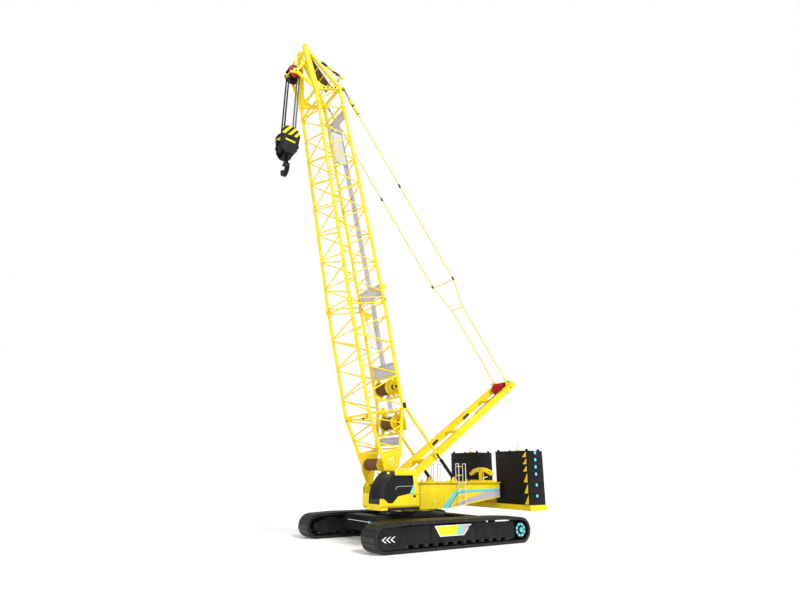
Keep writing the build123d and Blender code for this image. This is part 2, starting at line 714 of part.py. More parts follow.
def stop_lugs():
    """Pairs of lugs on the beam over the lower winch, for the backstops' upper eyes."""
    beam = chord_point(LOWER_DRUM_S + WINCH_REACH, 0, 1)
    face = hull([(beam[0], beam[2], WINCH_BEAM - 5), (STOP_EYE_N, STOP_EYE_S, STOP_EYE_RADIUS)])
    lugs = []
    for side in (-1, 1):
        for y in (STOP_HALF - STOP_EYE_HALF - 55, STOP_HALF + STOP_EYE_HALF + 20):
            lugs.append(side_face(face, *sorted((side * y, side * (y + 35)))))
    return lugs


def head_side(side, grow=0):
    """Main members of one side frame of the head: chord stubs, box beams up to the tip, and their knots."""
    front, back = chord_point(HEAD_S + HEAD_KNEE, 1, side), chord_point(PENDANT_PIN_S, 0, side)
    tip = (TIP_N, side * TIP_HALF, TIP_S)
    pieces = [
        tube(chord_point(HEAD_S - 20, 1, side), front, HEAD_TUBE + grow),
        tube(chord_point(HEAD_S - 20, 0, side), back, HEAD_TUBE + grow),
        box_bar(front, tip, HEAD_BEAM_WIDTH, HEAD_BEAM_DEPTH, grow),
        box_bar(back, tip, HEAD_BEAM_WIDTH, HEAD_STRUT_DEPTH, grow),
        box_bar(front, back, HEAD_BEAM_WIDTH, HEAD_STRUT_DEPTH, grow),
    ]
    for (n, y, s), radius in ((front, HEAD_BEAM_DEPTH / 2), (back, HEAD_STRUT_DEPTH / 2 + 30)):
        reach = HEAD_BEAM_WIDTH / 2 + 20 + grow
        pieces.append(side_face(Pos(n, s) * Circle(radius + grow), y - reach, y + reach))
    return pieces


def head_gusset(side):
    """Plate with a hollow edge in the corner between the upright beam and the one across its foot."""
    front = Vector(*chord_point(HEAD_S + HEAD_KNEE, 1, side))
    along = (Vector(*chord_point(PENDANT_PIN_S, 0, side)) - front).normalized()
    upright = (Vector(TIP_N, side * TIP_HALF, TIP_S) - front).normalized()
    plane = Plane(origin=front, x_dir=along, z_dir=along.cross(upright).normalized())
    back = (1050, 0)
    top = (1150 * upright.dot(plane.x_dir), 1150 * upright.dot(plane.y_dir))
    hollow = (0.36 * (back[0] + top[0]), 0.36 * (back[1] + top[1]))
    face = make_face([Line((0, 0), back), ThreePointArc(back, hollow, top), Line(top, (0, 0))])
    return extrude(plane * face, 30, both=True).solid()


def make_boom_head():
    """Both welded side frames of the head, with arms for the rope sheaves and the pendant pins."""
    arm_y = SHEAVE_PARTING / 2 + SHEAVE_PITCH * SHEAVE_COUNT / 2 + 60
    lug_y = PENDANT_TOP_HALF - PENDANT_EYE_HALF - RUN
    cuts = [
        joint_trim(HEAD_S - 200, HEAD_S + SEAT / 2),
        bar_y(SHEAVE_N, SHEAVE_S, SHEAVE_PIN_RADIUS + PIN_FIT, -2000, 2000),
        bar_y(TIP_N, TIP_S + 60, TIP_BORE, -2000, 2000),
    ]
    frames = []
    for side in (1, -1):
        front, back = chord_point(HEAD_S + HEAD_KNEE, 1, side), chord_point(PENDANT_PIN_S, 0, side)
        eye = (SHEAVE_N, side * (arm_y + 25), SHEAVE_S)
        pieces = head_side(side) + [
            head_gusset(side),
            tube(chord_point(HEAD_S + 160, 1, side), back, LACE_RADIUS + 10),
            box_bar(front, eye, 110, 210),
            box_bar((TIP_N - 20, side * (TIP_HALF + 90), TIP_S - 900), eye, 100, 150),
            side_face(Pos(SHEAVE_N, SHEAVE_S) * Circle(190),
                      *sorted((side * (arm_y - 45), side * (arm_y + 45)))),
            side_face(Pos(TIP_N, TIP_S + 60) * Circle(150),
                      *sorted((side * (TIP_HALF - TIP_BOSS), side * (TIP_HALF + TIP_BOSS)))),
        ]
        lug = hull([(back[0], back[2], 90), (PENDANT_PIN_N, PENDANT_PIN_S, 100)])
        pieces.append(side_face(lug, *sorted((side * (lug_y - 45), side * lug_y))))
        pieces.append(bar_y(PENDANT_PIN_N, PENDANT_PIN_S, PENDANT_PIN_RADIUS,
                            *sorted((side * (lug_y - 60), side * (PENDANT_TOP_HALF + 65)))))
        frames.append(on_boom(pieces, cuts))
    return frames


def make_sheave(radius, width, bore):
    """Grooved rope wheel across the crane at the origin."""
    half = width / 2
    profile = Polyline(
        (-half, bore), (half, bore), (half, radius + 45), (half * 0.72, radius + 45), (half * 0.38, radius),
        (-half * 0.38, radius), (-half * 0.72, radius + 45), (-half, radius + 45), close=True,
    )
    plane = Plane(origin=(0, 0, 0), x_dir=(0, 1, 0), z_dir=(1, 0, 0))
    return revolve(plane * make_face(profile), axis=Axis.Y).solid()


def sheave_places():
    """Y of each rope sheave, in two sets with a parting between them."""
    half = [SHEAVE_PARTING / 2 + (i + 0.5) * SHEAVE_PITCH for i in range(SHEAVE_COUNT // 2)]
    return [-y for y in reversed(half)] + half


def make_head_sheaves():
    """Rope sheaves at the boom's head, on one shaft."""
    sheave = make_sheave(SHEAVE_RADIUS, SHEAVE_PITCH + 1, 60)
    reach = SHEAVE_PARTING / 2 + SHEAVE_PITCH * SHEAVE_COUNT / 2 + 60 + 60
    shaft = bar_y(0, 0, SHEAVE_PIN_RADIUS, -reach, reach)
    sheaves = fuse([*[sheave.moved(Location((0, y, 0))) for y in sheave_places()], shaft])
    return sheaves.moved(Location((SHEAVE_N, 0, SHEAVE_S))).moved(BOOM_FRAME)


def make_drum(half, radius, flange, reach):
    """Rope drum with end flanges, across the boom."""
    pieces = [bar_y(0, 0, radius, -half, half), bar_y(0, 0, DRUM_SHAFT, -reach, reach)]
    for y in (-half, half - 40):
        pieces.append(bar_y(0, 0, flange, y, y + 40))
    return fuse(pieces)


# Winch drums: name, n, s, half length, radius, flange radius, shaft reach
WINCHES = [
    ("foot_winch_drum", FOOT_DRUM_N, FOOT_DRUM_S, FOOT_DRUM_HALF, FOOT_DRUM_RADIUS, FOOT_DRUM_FLANGE,
     FOOT_Y + FOOT_LUG / 2 + 20),
    ("lower_winch_drum", LOWER_DRUM_N, LOWER_DRUM_S, DRUM_HALF, DRUM_RADIUS, DRUM_FLANGE, DRUM_HALF + 95),
    ("upper_winch_drum", UPPER_DRUM_N, UPPER_DRUM_S, DRUM_HALF, DRUM_RADIUS, DRUM_FLANGE, DRUM_HALF + 95),
]


def make_catwalk():
    """Narrow walkway planks laid on the back of the boom, one run on each section."""
    planks = []
    for low, high in ((KINK_S + 2100, JOINT_S - 30), (JOINT_S + 30, HEAD_S - 30)):
        n_low, n_high = chord_point(low, 0, 1)[0], chord_point(high, 0, 1)[0]
        under = LACE_RADIUS + SEAT
        outline = [(n_low - under, low), (n_high - under, high), (n_high - under - WALK_DEPTH, high),
                   (n_low - under - WALK_DEPTH, low)]
        planks.append(side_plate(outline, -WALK_HALF, WALK_HALF).moved(BOOM_FRAME))
    return planks


# Mast
MAST_RUN = hypot(MAST_TIP_X - MAST_X, MAST_TIP_Z - MAST_Z)
MAST_ANGLE = atan2(MAST_TIP_Z - MAST_Z, MAST_X - MAST_TIP_X)
MAST_FRAME = Location(Plane(origin=(MAST_X, 0, MAST_Z), x_dir=(sin(MAST_ANGLE), 0, cos(MAST_ANGLE)),
                            z_dir=(-cos(MAST_ANGLE), 0, sin(MAST_ANGLE))))
MAST_SAG = 330


def make_mast():
    """Two box legs joined by cross members, with cheeks for the luffing sheaves at the head."""
    pieces = []
    top = MAST_RUN + 250
    for side in (-1, 1):
        middle, half = side * MAST_HALF, MAST_LEG_WIDTH / 2
        y_low, y_high = middle - half, middle + half
        outline = [(-MAST_LEG_FOOT / 2, 0), (MAST_LEG_FOOT / 2, 0), (-MAST_SAG + MAST_LEG_HEAD / 2, top),
                   (-MAST_SAG - MAST_LEG_HEAD / 2, top)]
        pieces.append(side_plate(outline, y_low, y_high))
        pieces.append(bar_y(0, 0, MAST_LEG_FOOT / 2, y_low, y_high))
        lug_y = sorted((side * (PENDANT_END_HALF + 60), side * (MAST_HALF - MAST_LEG_WIDTH / 2 + 10)))
        cheek = [(-MAST_SAG, MAST_RUN - 420), (60, MAST_RUN - 130), (110, MAST_RUN), (60, MAST_RUN + 130),
                 (-MAST_SAG, MAST_RUN + 240)]
        pieces.append(side_plate(cheek, *lug_y))
    for along, size in ((1500, 90), (4600, 80), (8200, 80)):
        n = -MAST_SAG * along / top
        pieces.append(block((n - size, n + size), (-MAST_HALF, MAST_HALF), (along - size, along + size)))
    n = -MAST_SAG
    pieces.append(block((n - 150, n + 60), (-MAST_HALF, MAST_HALF), (top - 60, top + 60)))
    mast = fuse([piece.moved(MAST_FRAME) for piece in pieces])
    cuts = [bar_y(0, 0, MAST_PIN_RADIUS + PIN_FIT, -2000, 2000),
            bar_y(0, MAST_RUN, PENDANT_PIN_RADIUS, -2000, 2000),
            bar_y(-MAST_SAG, MAST_RUN - 260, 60 + PIN_FIT, -2000, 2000)]
    return mast.cut(*[cut.moved(MAST_FRAME) for cut in cuts])


def make_mast_sheaves():
    """Luffing sheaves between the mast's legs at its head."""
    places = [(i - 2.5) * 130 for i in range(6)]
    sheaves = [make_sheave(250, 131, 50).moved(Location((0, y, 0))) for y in places]
    reach = MAST_HALF - MAST_LEG_WIDTH / 2
    shaft = bar_y(0, 0, 60, -reach - 60, reach + 60)
    return fuse([*sheaves, shaft]).moved(Location((-MAST_SAG, 0, MAST_RUN - 260))).moved(MAST_FRAME)


def mast_feet():
    """Brackets on the deck for the mast's pins."""
    pieces = []
    for side in (-1, 1):
        for y in (MAST_HALF - MAST_LEG_WIDTH / 2 - RUN - 50, MAST_HALF + MAST_LEG_WIDTH / 2 + RUN):
            y_low, y_high = sorted((side * y, side * (y + 50)))
            plate = side_plate([(MAST_X - 330, FRAME_TOP - 10), (MAST_X + 330, FRAME_TOP - 10),
                                (MAST_X + 130, MAST_Z + 60), (MAST_X + 60, MAST_Z + 130),
                                (MAST_X - 60, MAST_Z + 130), (MAST_X - 130, MAST_Z + 60)], y_low, y_high)
            pieces.append(plate.cut(bar_y(MAST_X, MAST_Z, MAST_PIN_RADIUS + PIN_FIT, -2000, 2000)).solid())
    return pieces


# Pendants
PIN_X = FOOT_X + PENDANT_PIN_S * sin(LEAN) + PENDANT_PIN_N * cos(LEAN)
PIN_Z = FOOT_Z + PENDANT_PIN_S * cos(LEAN) - PENDANT_PIN_N * sin(LEAN)
PENDANT_RUN = hypot(PIN_X - MAST_TIP_X, PIN_Z - MAST_TIP_Z)
PENDANT_ANGLE = atan2(PIN_Z - MAST_TIP_Z, PIN_X - MAST_TIP_X)
PENDANT_FRAME = Location(Plane(origin=(PIN_X, 0, PIN_Z), x_dir=(sin(PENDANT_ANGLE), 0, -cos(PENDANT_ANGLE)),
                               z_dir=(-cos(PENDANT_ANGLE), 0, -sin(PENDANT_ANGLE))))


def make_pendants():
    """Two pendant bars from the boom's head to the mast's head, and the two spreaders between them."""
    found = []
    spread, narrow = 14080, 15850
    ends = ((0, PENDANT_TOP_HALF), (PENDANT_RUN, PENDANT_END_HALF))
    bores = [bar_y(0, 0, PENDANT_PIN_RADIUS + PIN_FIT, -2000, 2000),
             bar_y(0, PENDANT_RUN, PENDANT_PIN_RADIUS, -2000, 2000)]

    def bar(side, radius):
        return pipe([(0, side * PENDANT_TOP_HALF, 0), (0, side * PENDANT_TOP_HALF, spread),
                     (0, side * PENDANT_END_HALF, narrow), (0, side * PENDANT_END_HALF, PENDANT_RUN)], radius)

    for side in (-1, 1):
        pieces = [bar(side, PENDANT_RADIUS)]
        for along, y in ends:
            low, high = sorted((side * (y - PENDANT_EYE_HALF), side * (y + PENDANT_EYE_HALF)))
            pieces.append(side_face(Pos(0, along) * Circle(110), low, high))
        whole = fuse([piece.moved(PENDANT_FRAME) for piece in pieces])
        found.append(whole.cut(*[bore.moved(PENDANT_FRAME) for bore in bores]).solid())
    seats = [bar(side, PENDANT_RADIUS + SEAT).moved(PENDANT_FRAME) for side in (-1, 1)]
    for along, y in ((spread - 90, PENDANT_TOP_HALF), (narrow + 90, PENDANT_END_HALF)):
        spreader = tube((0, -y, along), (0, y, along), PENDANT_RADIUS).moved(PENDANT_FRAME)
        found.append(spreader.cut(*seats).solids().sort_by(SortBy.VOLUME)[-1])
    return found


# Backstops
EYE_X = FOOT_X + STOP_EYE_S * sin(LEAN) + STOP_EYE_N * cos(LEAN)
EYE_Z = FOOT_Z + STOP_EYE_S * cos(LEAN) - STOP_EYE_N * sin(LEAN)
STOP_RUN = hypot(EYE_X - STOP_FOOT_X, EYE_Z - STOP_FOOT_Z)
STOP_ANGLE = atan2(EYE_Z - STOP_FOOT_Z, EYE_X - STOP_FOOT_X)
STOP_FRAME = Location(Plane(origin=(STOP_FOOT_X, 0, STOP_FOOT_Z),
                            x_dir=(sin(STOP_ANGLE), 0, -cos(STOP_ANGLE)),
                            z_dir=(cos(STOP_ANGLE), 0, sin(STOP_ANGLE))))
STOP_TUBE_START = STOP_SLEEVE_END + 480
STOP_ROD_END = STOP_RUN - 640


def make_stop_rods():
    """Lower half of each backstop: eye, dark sleeve and the rod that runs up inside the tube."""
    rods = []
    for side in (-1, 1):
        y = side * STOP_HALF
        pieces = [
            side_face(hull([(0, 0, 110), (0, STOP_SLEEVE_START, 80)]), y - 45, y + 45),
            tube((0, y, STOP_SLEEVE_START), (0, y, STOP_SLEEVE_END), STOP_SLEEVE_RADIUS),
            tube((0, y, STOP_SLEEVE_END - 10), (0, y, STOP_ROD_END), STOP_ROD_RADIUS),
        ]
        bore = bar_y(0, 0, STOP_PIN_RADIUS + PIN_FIT, y - 100, y + 100)
        rods.append(fuse(pieces).cut(bore).moved(STOP_FRAME))
    return rods


def make_stop_tubes():
    """Upper half of each backstop: a hollow tube with its eye at the boom."""
    tubes = []
    for side in (-1, 1):
        y = side * STOP_HALF
        outer = tube((0, y, STOP_TUBE_START), (0, y, STOP_RUN - 250), STOP_TUBE_RADIUS)
        bore = tube((0, y, STOP_TUBE_START - 1), (0, y, STOP_RUN - 270), STOP_ROD_RADIUS + SEAT)
        eye = side_face(hull([(0, STOP_RUN, STOP_EYE_RADIUS), (0, STOP_RUN - 250, 60)]), y - STOP_EYE_HALF,
                        y + STOP_EYE_HALF)
        eye = eye.cut(tube((0, y, STOP_RUN - 400), (0, y, STOP_RUN - 270), STOP_ROD_RADIUS + SEAT))
        piece = fuse([outer.cut(bore).solid(), eye.solid()])
        tubes.append(piece.cut(bar_y(0, STOP_RUN, STOP_PIN_RADIUS, y - 100, y + 100)).moved(STOP_FRAME))
    return tubes


def stop_feet():
    """Clevis plates on the deck for the backstops."""
    plates = []
    bore = bar_y(STOP_FOOT_X, STOP_FOOT_Z, STOP_PIN_RADIUS + PIN_FIT, -2000, 2000)
    for side in (-1, 1):
        for y in (STOP_HALF - 45 - RUN - 40, STOP_HALF + 45 + RUN):
            outline = [(STOP_FOOT_X - 260, FRAME_TOP - 10), (STOP_FOOT_X + 260, FRAME_TOP - 10),
                       (STOP_FOOT_X + 100, STOP_FOOT_Z + 80), (STOP_FOOT_X - 100, STOP_FOOT_Z + 80)]
            plates.append(side_plate(outline, *sorted((side * y, side * (y + 40)))).cut(bore).solid())
    return plates


# Hook block and ropes
AXLE_X = FOOT_X + SHEAVE_S * sin(LEAN) + SHEAVE_N * cos(LEAN)
AXLE_Z = FOOT_Z + SHEAVE_S * cos(LEAN) - SHEAVE_N * sin(LEAN)


def make_ropes():
    """Hoist ropes that fall from both sides of the head sheaves to the block's sheaves."""
    ropes = []
    x = SHEAVE_RADIUS + ROPE_RADIUS + SEAT
    for y in sheave_places():
        for side in (-1, 1):
            foot = (AXLE_X + side * x, y, AXLE_Z - BLOCK_DROP)
            ropes.append(tube(foot, (foot[0], y, AXLE_Z), ROPE_RADIUS))
    return ropes


def make_block_sheaves():
    """Sheaves inside the hook block, on their pin."""
    sheave = make_sheave(SHEAVE_RADIUS, SHEAVE_WIDTH, 60)
    sheaves = [sheave.moved(Location((0, y, 0))) for y in sheave_places()]
    pin = bar_y(0, 0, 60.5, -BLOCK_HALF - 20, BLOCK_HALF + 20)
    return fuse([*sheaves, pin]).moved(Location((AXLE_X, 0, AXLE_Z - BLOCK_DROP)))


def make_hook_block():
    """Cheek plates with rounded tops, joined by weights and by the crosshead above the hook."""
    crown = (0, 730)
    shoulder = (580, 110)
    cheek = make_face([
        Line((-450, -860), (-250, -1110)), Line((-250, -1110), (250, -1110)), Line((250, -1110), (450, -860)),
        Line((450, -860), shoulder), ThreePointArc(shoulder, crown, (-shoulder[0], shoulder[1])),
        Line((-shoulder[0], shoulder[1]), (-450, -860)),
    ])
    pin_bore = bar_y(0, 0, 60.5 + PIN_FIT, -1000, 1000)
    pieces = []
    for side in (-1, 1):
        low, high = sorted((side * (BLOCK_HALF - 60), side * BLOCK_HALF))
        pieces.append(side_face(cheek, low, high).cut(pin_bore).solid())
    weight = [(-500, -440), (-400, -900), (400, -900), (500, -440)]
    pieces.append(side_plate(weight, -BLOCK_HALF + 50, BLOCK_HALF - 50))
    pieces.append(block((-220, 220), (-BLOCK_HALF + 50, BLOCK_HALF - 50), (-1180, -890)))
    shank_bore = Solid.make_cylinder(SHANK_RADIUS + PIN_FIT, 1400 + SHANK_TOP, Plane(origin=(0, 0, -1400)))
    body = fuse(pieces).cut(shank_bore)
    return body.moved(Location((AXLE_X, 0, AXLE_Z - BLOCK_DROP)))


def make_hook():
    """Forged hook with a shank in the block's crosshead, turned to open across the crane."""
    shank = Solid.make_cylinder(SHANK_RADIUS, SHANK_TOP - 10 + 1390, Plane(origin=(0, 0, -1390)))
    bowl = side_face(Pos(0, -1950) * Circle(430), -110, 110)
    throat = side_face(Pos(30, -1910) * Circle(215), -120, 120)
    neck = side_plate([(-110, -1390), (110, -1390), (190, -1680), (-330, -1830)], -100, 100)
    mouth = side_plate([(60, -1670), (700, -1530), (700, -1890), (200, -1890)], -120, 120)
    hook = fuse([bowl, neck]).cut(throat).cut(mouth)
    turned = Location((AXLE_X, 0, AXLE_Z - BLOCK_DROP), (0, 0, -90))
    return fuse([shank, *hook.solids()]).moved(turned)


# Counterweights
def make_tray():
    """Base plate under both stacks, hung from the frame's tail."""
    x_high = -STACK_FRONT + TRAY_EDGE
    x_low = -STACK_FRONT - STACK_DEPTH - TRAY_EDGE
    half = STACK_INNER + STACK_WIDTH + TRAY_EDGE
    plate = block((x_low, x_high), (-half, half), (TRAY_BOTTOM, TRAY_TOP))
    hanger = block((x_low + 150, x_high - 150), (-TAIL_HALF + 60, TAIL_HALF - 60),
                   (TRAY_TOP - 1, FRAME_TAIL_BOTTOM - SEAT))
    return fuse([plate, hanger])


def make_slabs(side):
    """One stack of slabs with their corners cut off."""
    slabs = []
    low = TRAY_TOP + SEAT
    for height in SLAB_HEIGHTS:
        slab = block((-STACK_FRONT - STACK_DEPTH, -STACK_FRONT), (STACK_INNER, STACK_INNER + STACK_WIDTH),
                     (low, low + height))
        slab = slab.chamfer(40, None, slab.edges().filter_by(Axis.Z))
        slabs.append(slab if side > 0 else mirror_y(slab))
        low += height + SEAT
    return slabs


# Cab
def cab_face(inset):
    """Side view of the cab drawn in by inset: a raked back, a flat roof and a round nose down to the sill."""
    i = inset
    nose_x, radius = CAB_FRONT - NOSE_RADIUS, NOSE_RADIUS - i
    roof_turn = asin((CAB_ROOF - i - NOSE_Z) / radius)
    crown = (nose_x + radius * cos(roof_turn), CAB_ROOF - i)
    brow = (nose_x + radius * cos(roof_turn / 2), NOSE_Z + radius * sin(roof_turn / 2))
    chin = (nose_x + radius, NOSE_Z)
    back, top = CAB_REAR + CAB_RAKE + i, CAB_ROOF - i
    rear_low, rear_high = (CAB_REAR + i, CAB_FLOOR + i), (back - 20, top - 150)
    return make_face([
        Line(rear_low, (CAB_FRONT - i, CAB_FLOOR + i)), Line((CAB_FRONT - i, CAB_FLOOR + i), chin),
        ThreePointArc(chin, brow, crown), Line(crown, (back + 140, top)),
        ThreePointArc((back + 140, top), (back + 33, top - 47), rear_high), Line(rear_high, rear_low),
    ])


def cab_solid(inset):
    """The cab's form drawn in by inset, with its long edges rounded off."""
    body = side_face(cab_face(inset), CAB_INNER + inset, CAB_OUTER - inset)
    sides = body.faces().sort_by(Axis.Y)
    return body.fillet(CAB_EDGE - inset, sides[0].edges() + sides[-1].edges())


def nose_point(z, back):
    """X of the cab's nose at a height, moved back by a distance."""
    radius = NOSE_RADIUS - back
    return CAB_FRONT - NOSE_RADIUS + sqrt(radius ** 2 - (z - NOSE_Z) ** 2)


DOOR_X = CAB_REAR + CAB_RAKE
DOOR_LOW, DOOR_HIGH = CAB_FLOOR + 90, CAB_ROOF - 210


def door_outline():
    """Outline of the door: upright behind, cut off at its lower front and curved along the pillar."""
    middle = (NOSE_Z + DOOR_HIGH) / 2
    low, high = (nose_point(NOSE_Z + 65, PILLAR), NOSE_Z + 65), (nose_point(DOOR_HIGH, PILLAR), DOOR_HIGH)
    return make_face([
        Line((DOOR_X, DOOR_LOW), (CAB_FRONT - 530, DOOR_LOW)), Line((CAB_FRONT - 530, DOOR_LOW), low),
        ThreePointArc(low, (nose_point(middle, PILLAR), middle), high), Line(high, (DOOR_X + 90, DOOR_HIGH)),
        Line((DOOR_X + 90, DOOR_HIGH), (DOOR_X, DOOR_HIGH - 110)),
        Line((DOOR_X, DOOR_HIGH - 110), (DOOR_X, DOOR_LOW)),
    ])


def window_outline():
    """Outline of the door's window, which steps down to the front."""
    rim = PILLAR + 60
    top = DOOR_HIGH - 70
    low, high = (nose_point(NOSE_Z + 80, rim), NOSE_Z + 80), (nose_point(top, rim), top)
    middle = (low[1] + high[1]) / 2
    corners = [high, (DOOR_X + 280, top), (DOOR_X + 240, top - 410), (DOOR_X + 470, top - 830),
               (DOOR_X + 1180, top - 960), (DOOR_X + 1490, SILL_Z + 70), (CAB_FRONT - 450, SILL_Z + 70), low]
    lines = [Line(a, b) for a, b in zip(corners, corners[1:])]
    return make_face([*lines, ThreePointArc(low, (nose_point(middle, rim), middle), high)])


def door_hinges():
    """Hinge halves at the door's rear edge: knuckles with pins on the shell, and the door's knuckles."""
    x, y = DOOR_X - RUN / 2, CAB_OUTER + HINGE_RADIUS + 2
    fixed, moving = [], []
    for z in (DOOR_LOW + 220, DOOR_HIGH - 330 - 2 * HINGE_LENGTH):
        middle, top = z + HINGE_LENGTH, z + 2 * HINGE_LENGTH
        fixed.append(block((x - 70, x), (CAB_OUTER - 5, y + 8), (z, middle)))
        fixed.append(tube((x, y, z), (x, y, middle), HINGE_RADIUS))
        fixed.append(tube((x, y, z), (x, y, top), HINGE_PIN_RADIUS))
        leaf = block((x, x + 70), (CAB_OUTER - 5, y + 8), (middle + PIN_FIT, top))
        knuckle = tube((x, y, middle + PIN_FIT), (x, y, top), HINGE_RADIUS)
        bore = tube((x, y, z), (x, y, top + 1), HINGE_PIN_RADIUS + PIN_FIT)
        moving.append(fuse([leaf, knuckle]).cut(bore).solid())
    return fixed, moving


def make_cab():
    """Cab pieces: shell with floor and pillars, roof, door, glass, seat and console."""
    skin = cab_solid(0) - cab_solid(CAB_WALL)
    outside = (CAB_OUTER - CAB_WALL - 30, CAB_OUTER + 30)
    door_prism = side_face(door_outline(), *outside)
    door_hole = side_face(offset(door_outline(), RUN, kind=Kind.INTERSECTION).face(), *outside)
    window = side_face(window_outline(), *outside)
    front_top = CAB_ROOF - 150
    front = block((nose_point(front_top, CAB_WALL + 40), CAB_FRONT + 100),
                  (CAB_INNER + CAB_EDGE, CAB_OUTER - CAB_EDGE), (SILL_Z, front_top))
    inner = block((CAB_REAR + 420, CAB_FRONT - 850), (CAB_INNER - 10, CAB_INNER + CAB_WALL + 10),
                  (CAB_FLOOR + 750, CAB_ROOF - 290))
    rear = block((CAB_REAR - 10, CAB_REAR + CAB_RAKE + CAB_WALL), (CAB_INNER + 250, CAB_OUTER - 250),
                 (CAB_FLOOR + 850, CAB_ROOF - 380))
    roof_cut = block((CAB_REAR - 100, CAB_FRONT + 100), (CAB_INNER - 100, CAB_OUTER + 100),
                     (CAB_ROOF - 110, CAB_ROOF + 100))
    hinge_fixed, hinge_moving = door_hinges()
    body = fuse([skin.cut(roof_cut, door_hole, front, inner, rear), *hinge_fixed])
    roof = (skin & roof_cut).cut(front)
    door = fuse([(skin & door_prism).cut(window), *hinge_moving])
    pane_skin = cab_solid(GLASS_INSET) - cab_solid(GLASS_INSET + GLASS)
    windscreen = pane_skin & front
    panes = [pane_skin & tool for tool in (inner, rear)]
    return {
        "cab_shell": body.solids(), "cab_roof": roof.solids(), "cab_door": door.solids(),
        "windscreen": windscreen.solids(), "cab_side_glass": [s for p in panes for s in p.solids()],
        "door_glass": (pane_skin & window).solids(),
    }


def make_cab_inside():
    """The driver's seat and the console boxes beside it."""
    seat_x, seat_y = CAB_REAR + 850, (CAB_INNER + CAB_OUTER) / 2
    floor_z = CAB_FLOOR + CAB_WALL
    back = [(seat_x - 270, floor_z + 449), (seat_x - 120, floor_z + 449), (seat_x - 240, floor_z + 1130),
            (seat_x - 340, floor_z + 1130)]
    seat = fuse([
        block((seat_x - 200, seat_x + 200), (seat_y - 180, seat_y + 180), (floor_z + SEAT, floor_z + 330)),
        block((seat_x - 270, seat_x + 260), (seat_y - 250, seat_y + 250), (floor_z + 329, floor_z + 450)),
        side_plate(back, seat_y - 240, seat_y + 240),
    ])
    consoles = []
    for side in (-1, 1):
        y = seat_y + side * 380
        consoles.append(block((seat_x - 150, seat_x + 350), (y - 70, y + 70),
                              (floor_z + SEAT, floor_z + 560)))
    return seat, consoles


def make_cab_platform():
    """Platform that carries the cab from the side of the upper frame."""
    z_high = CAB_FLOOR - SEAT
    inner = FRAME_HALF + SEAT
    return fuse([
        block((CAB_REAR - 40, CAB_FRONT - 60), (inner, CAB_OUTER - 20), (z_high - 140, z_high)),
        block((CAB_REAR + 150, CAB_REAR + 350), (inner, CAB_OUTER - 300), (z_high - 230, z_high - 100)),
        block((CAB_FRONT - 1500, CAB_FRONT - 1370), (inner, CAB_OUTER - 300), (z_high - 230, z_high - 100)),
    ])


def make_ladder(x_mid):
    """Ladder on the left of the upper frame, with its rails bent over into hoops above the deck."""
    y = FRAME_HALF + DECK_OVERHANG + 90
    pieces = []
    for x in (x_mid - 260, x_mid + 260):
        deck_y = y - 260
        stops = [(x, y, 1700), (x, y, 4020), (x, deck_y, 4020), (x, deck_y, FRAME_TOP + SEAT)]
        pieces.append(pipe(stops, 20))
    for i in range(5):
        z = 1790 + i * 290
        pieces.append(tube((x_mid - 260, y, z), (x_mid + 260, y, z), 16))
    for x in (x_mid - 260, x_mid + 260):
        edge_y = FRAME_HALF + DECK_OVERHANG + SEAT
        pieces.append(tube((x, edge_y, FRAME_TOP - 15), (x, y, FRAME_TOP - 15), 14))
    return fuse(pieces)


def make_rear_yoke():
    """Arched beam across the frame's rear, on its post, that lifts the counterweight tray."""
    x = -FRAME_REAR + 250
    plane = Plane(origin=(x - 90, 0, 0), x_dir=(0, 1, 0), z_dir=(1, 0, 0))
    outline = [
        Line((-1000, 3440), (-900, 3380)), Line((-900, 3380), (-700, 3470)),
        ThreePointArc((-700, 3470), (0, 3640), (700, 3470)), Line((700, 3470), (900, 3380)),
        Line((900, 3380), (1000, 3440)), Line((1000, 3440), (1000, 3560)),
        ThreePointArc((1000, 3560), (0, 3860), (-1000, 3560)), Line((-1000, 3560), (-1000, 3440)),
    ]
    beam = extrude(plane * make_face(outline), 180).solid()
    post = block((x - 110, x + 110), (-120, 120), (FRAME_TOP + SEAT, 3660))
    base = block((x - 200, x + 200), (-900, 900), (FRAME_TOP + SEAT, FRAME_TOP + 90))
    return fuse([beam, post, base])


def make_power_housing():
    """Engine housing on the right of the frame, with louvred sides left plain here."""
    outer = block((-1900, 1200), (-2700, -FRAME_HALF - SEAT), (1750, 2900))
    outer = outer.chamfer(60, None, outer.edges().filter_by(Axis.Z))
    inner = block((-1870, 1170), (-2670, -FRAME_HALF), (1780, 2870))
    return outer.cut(inner)


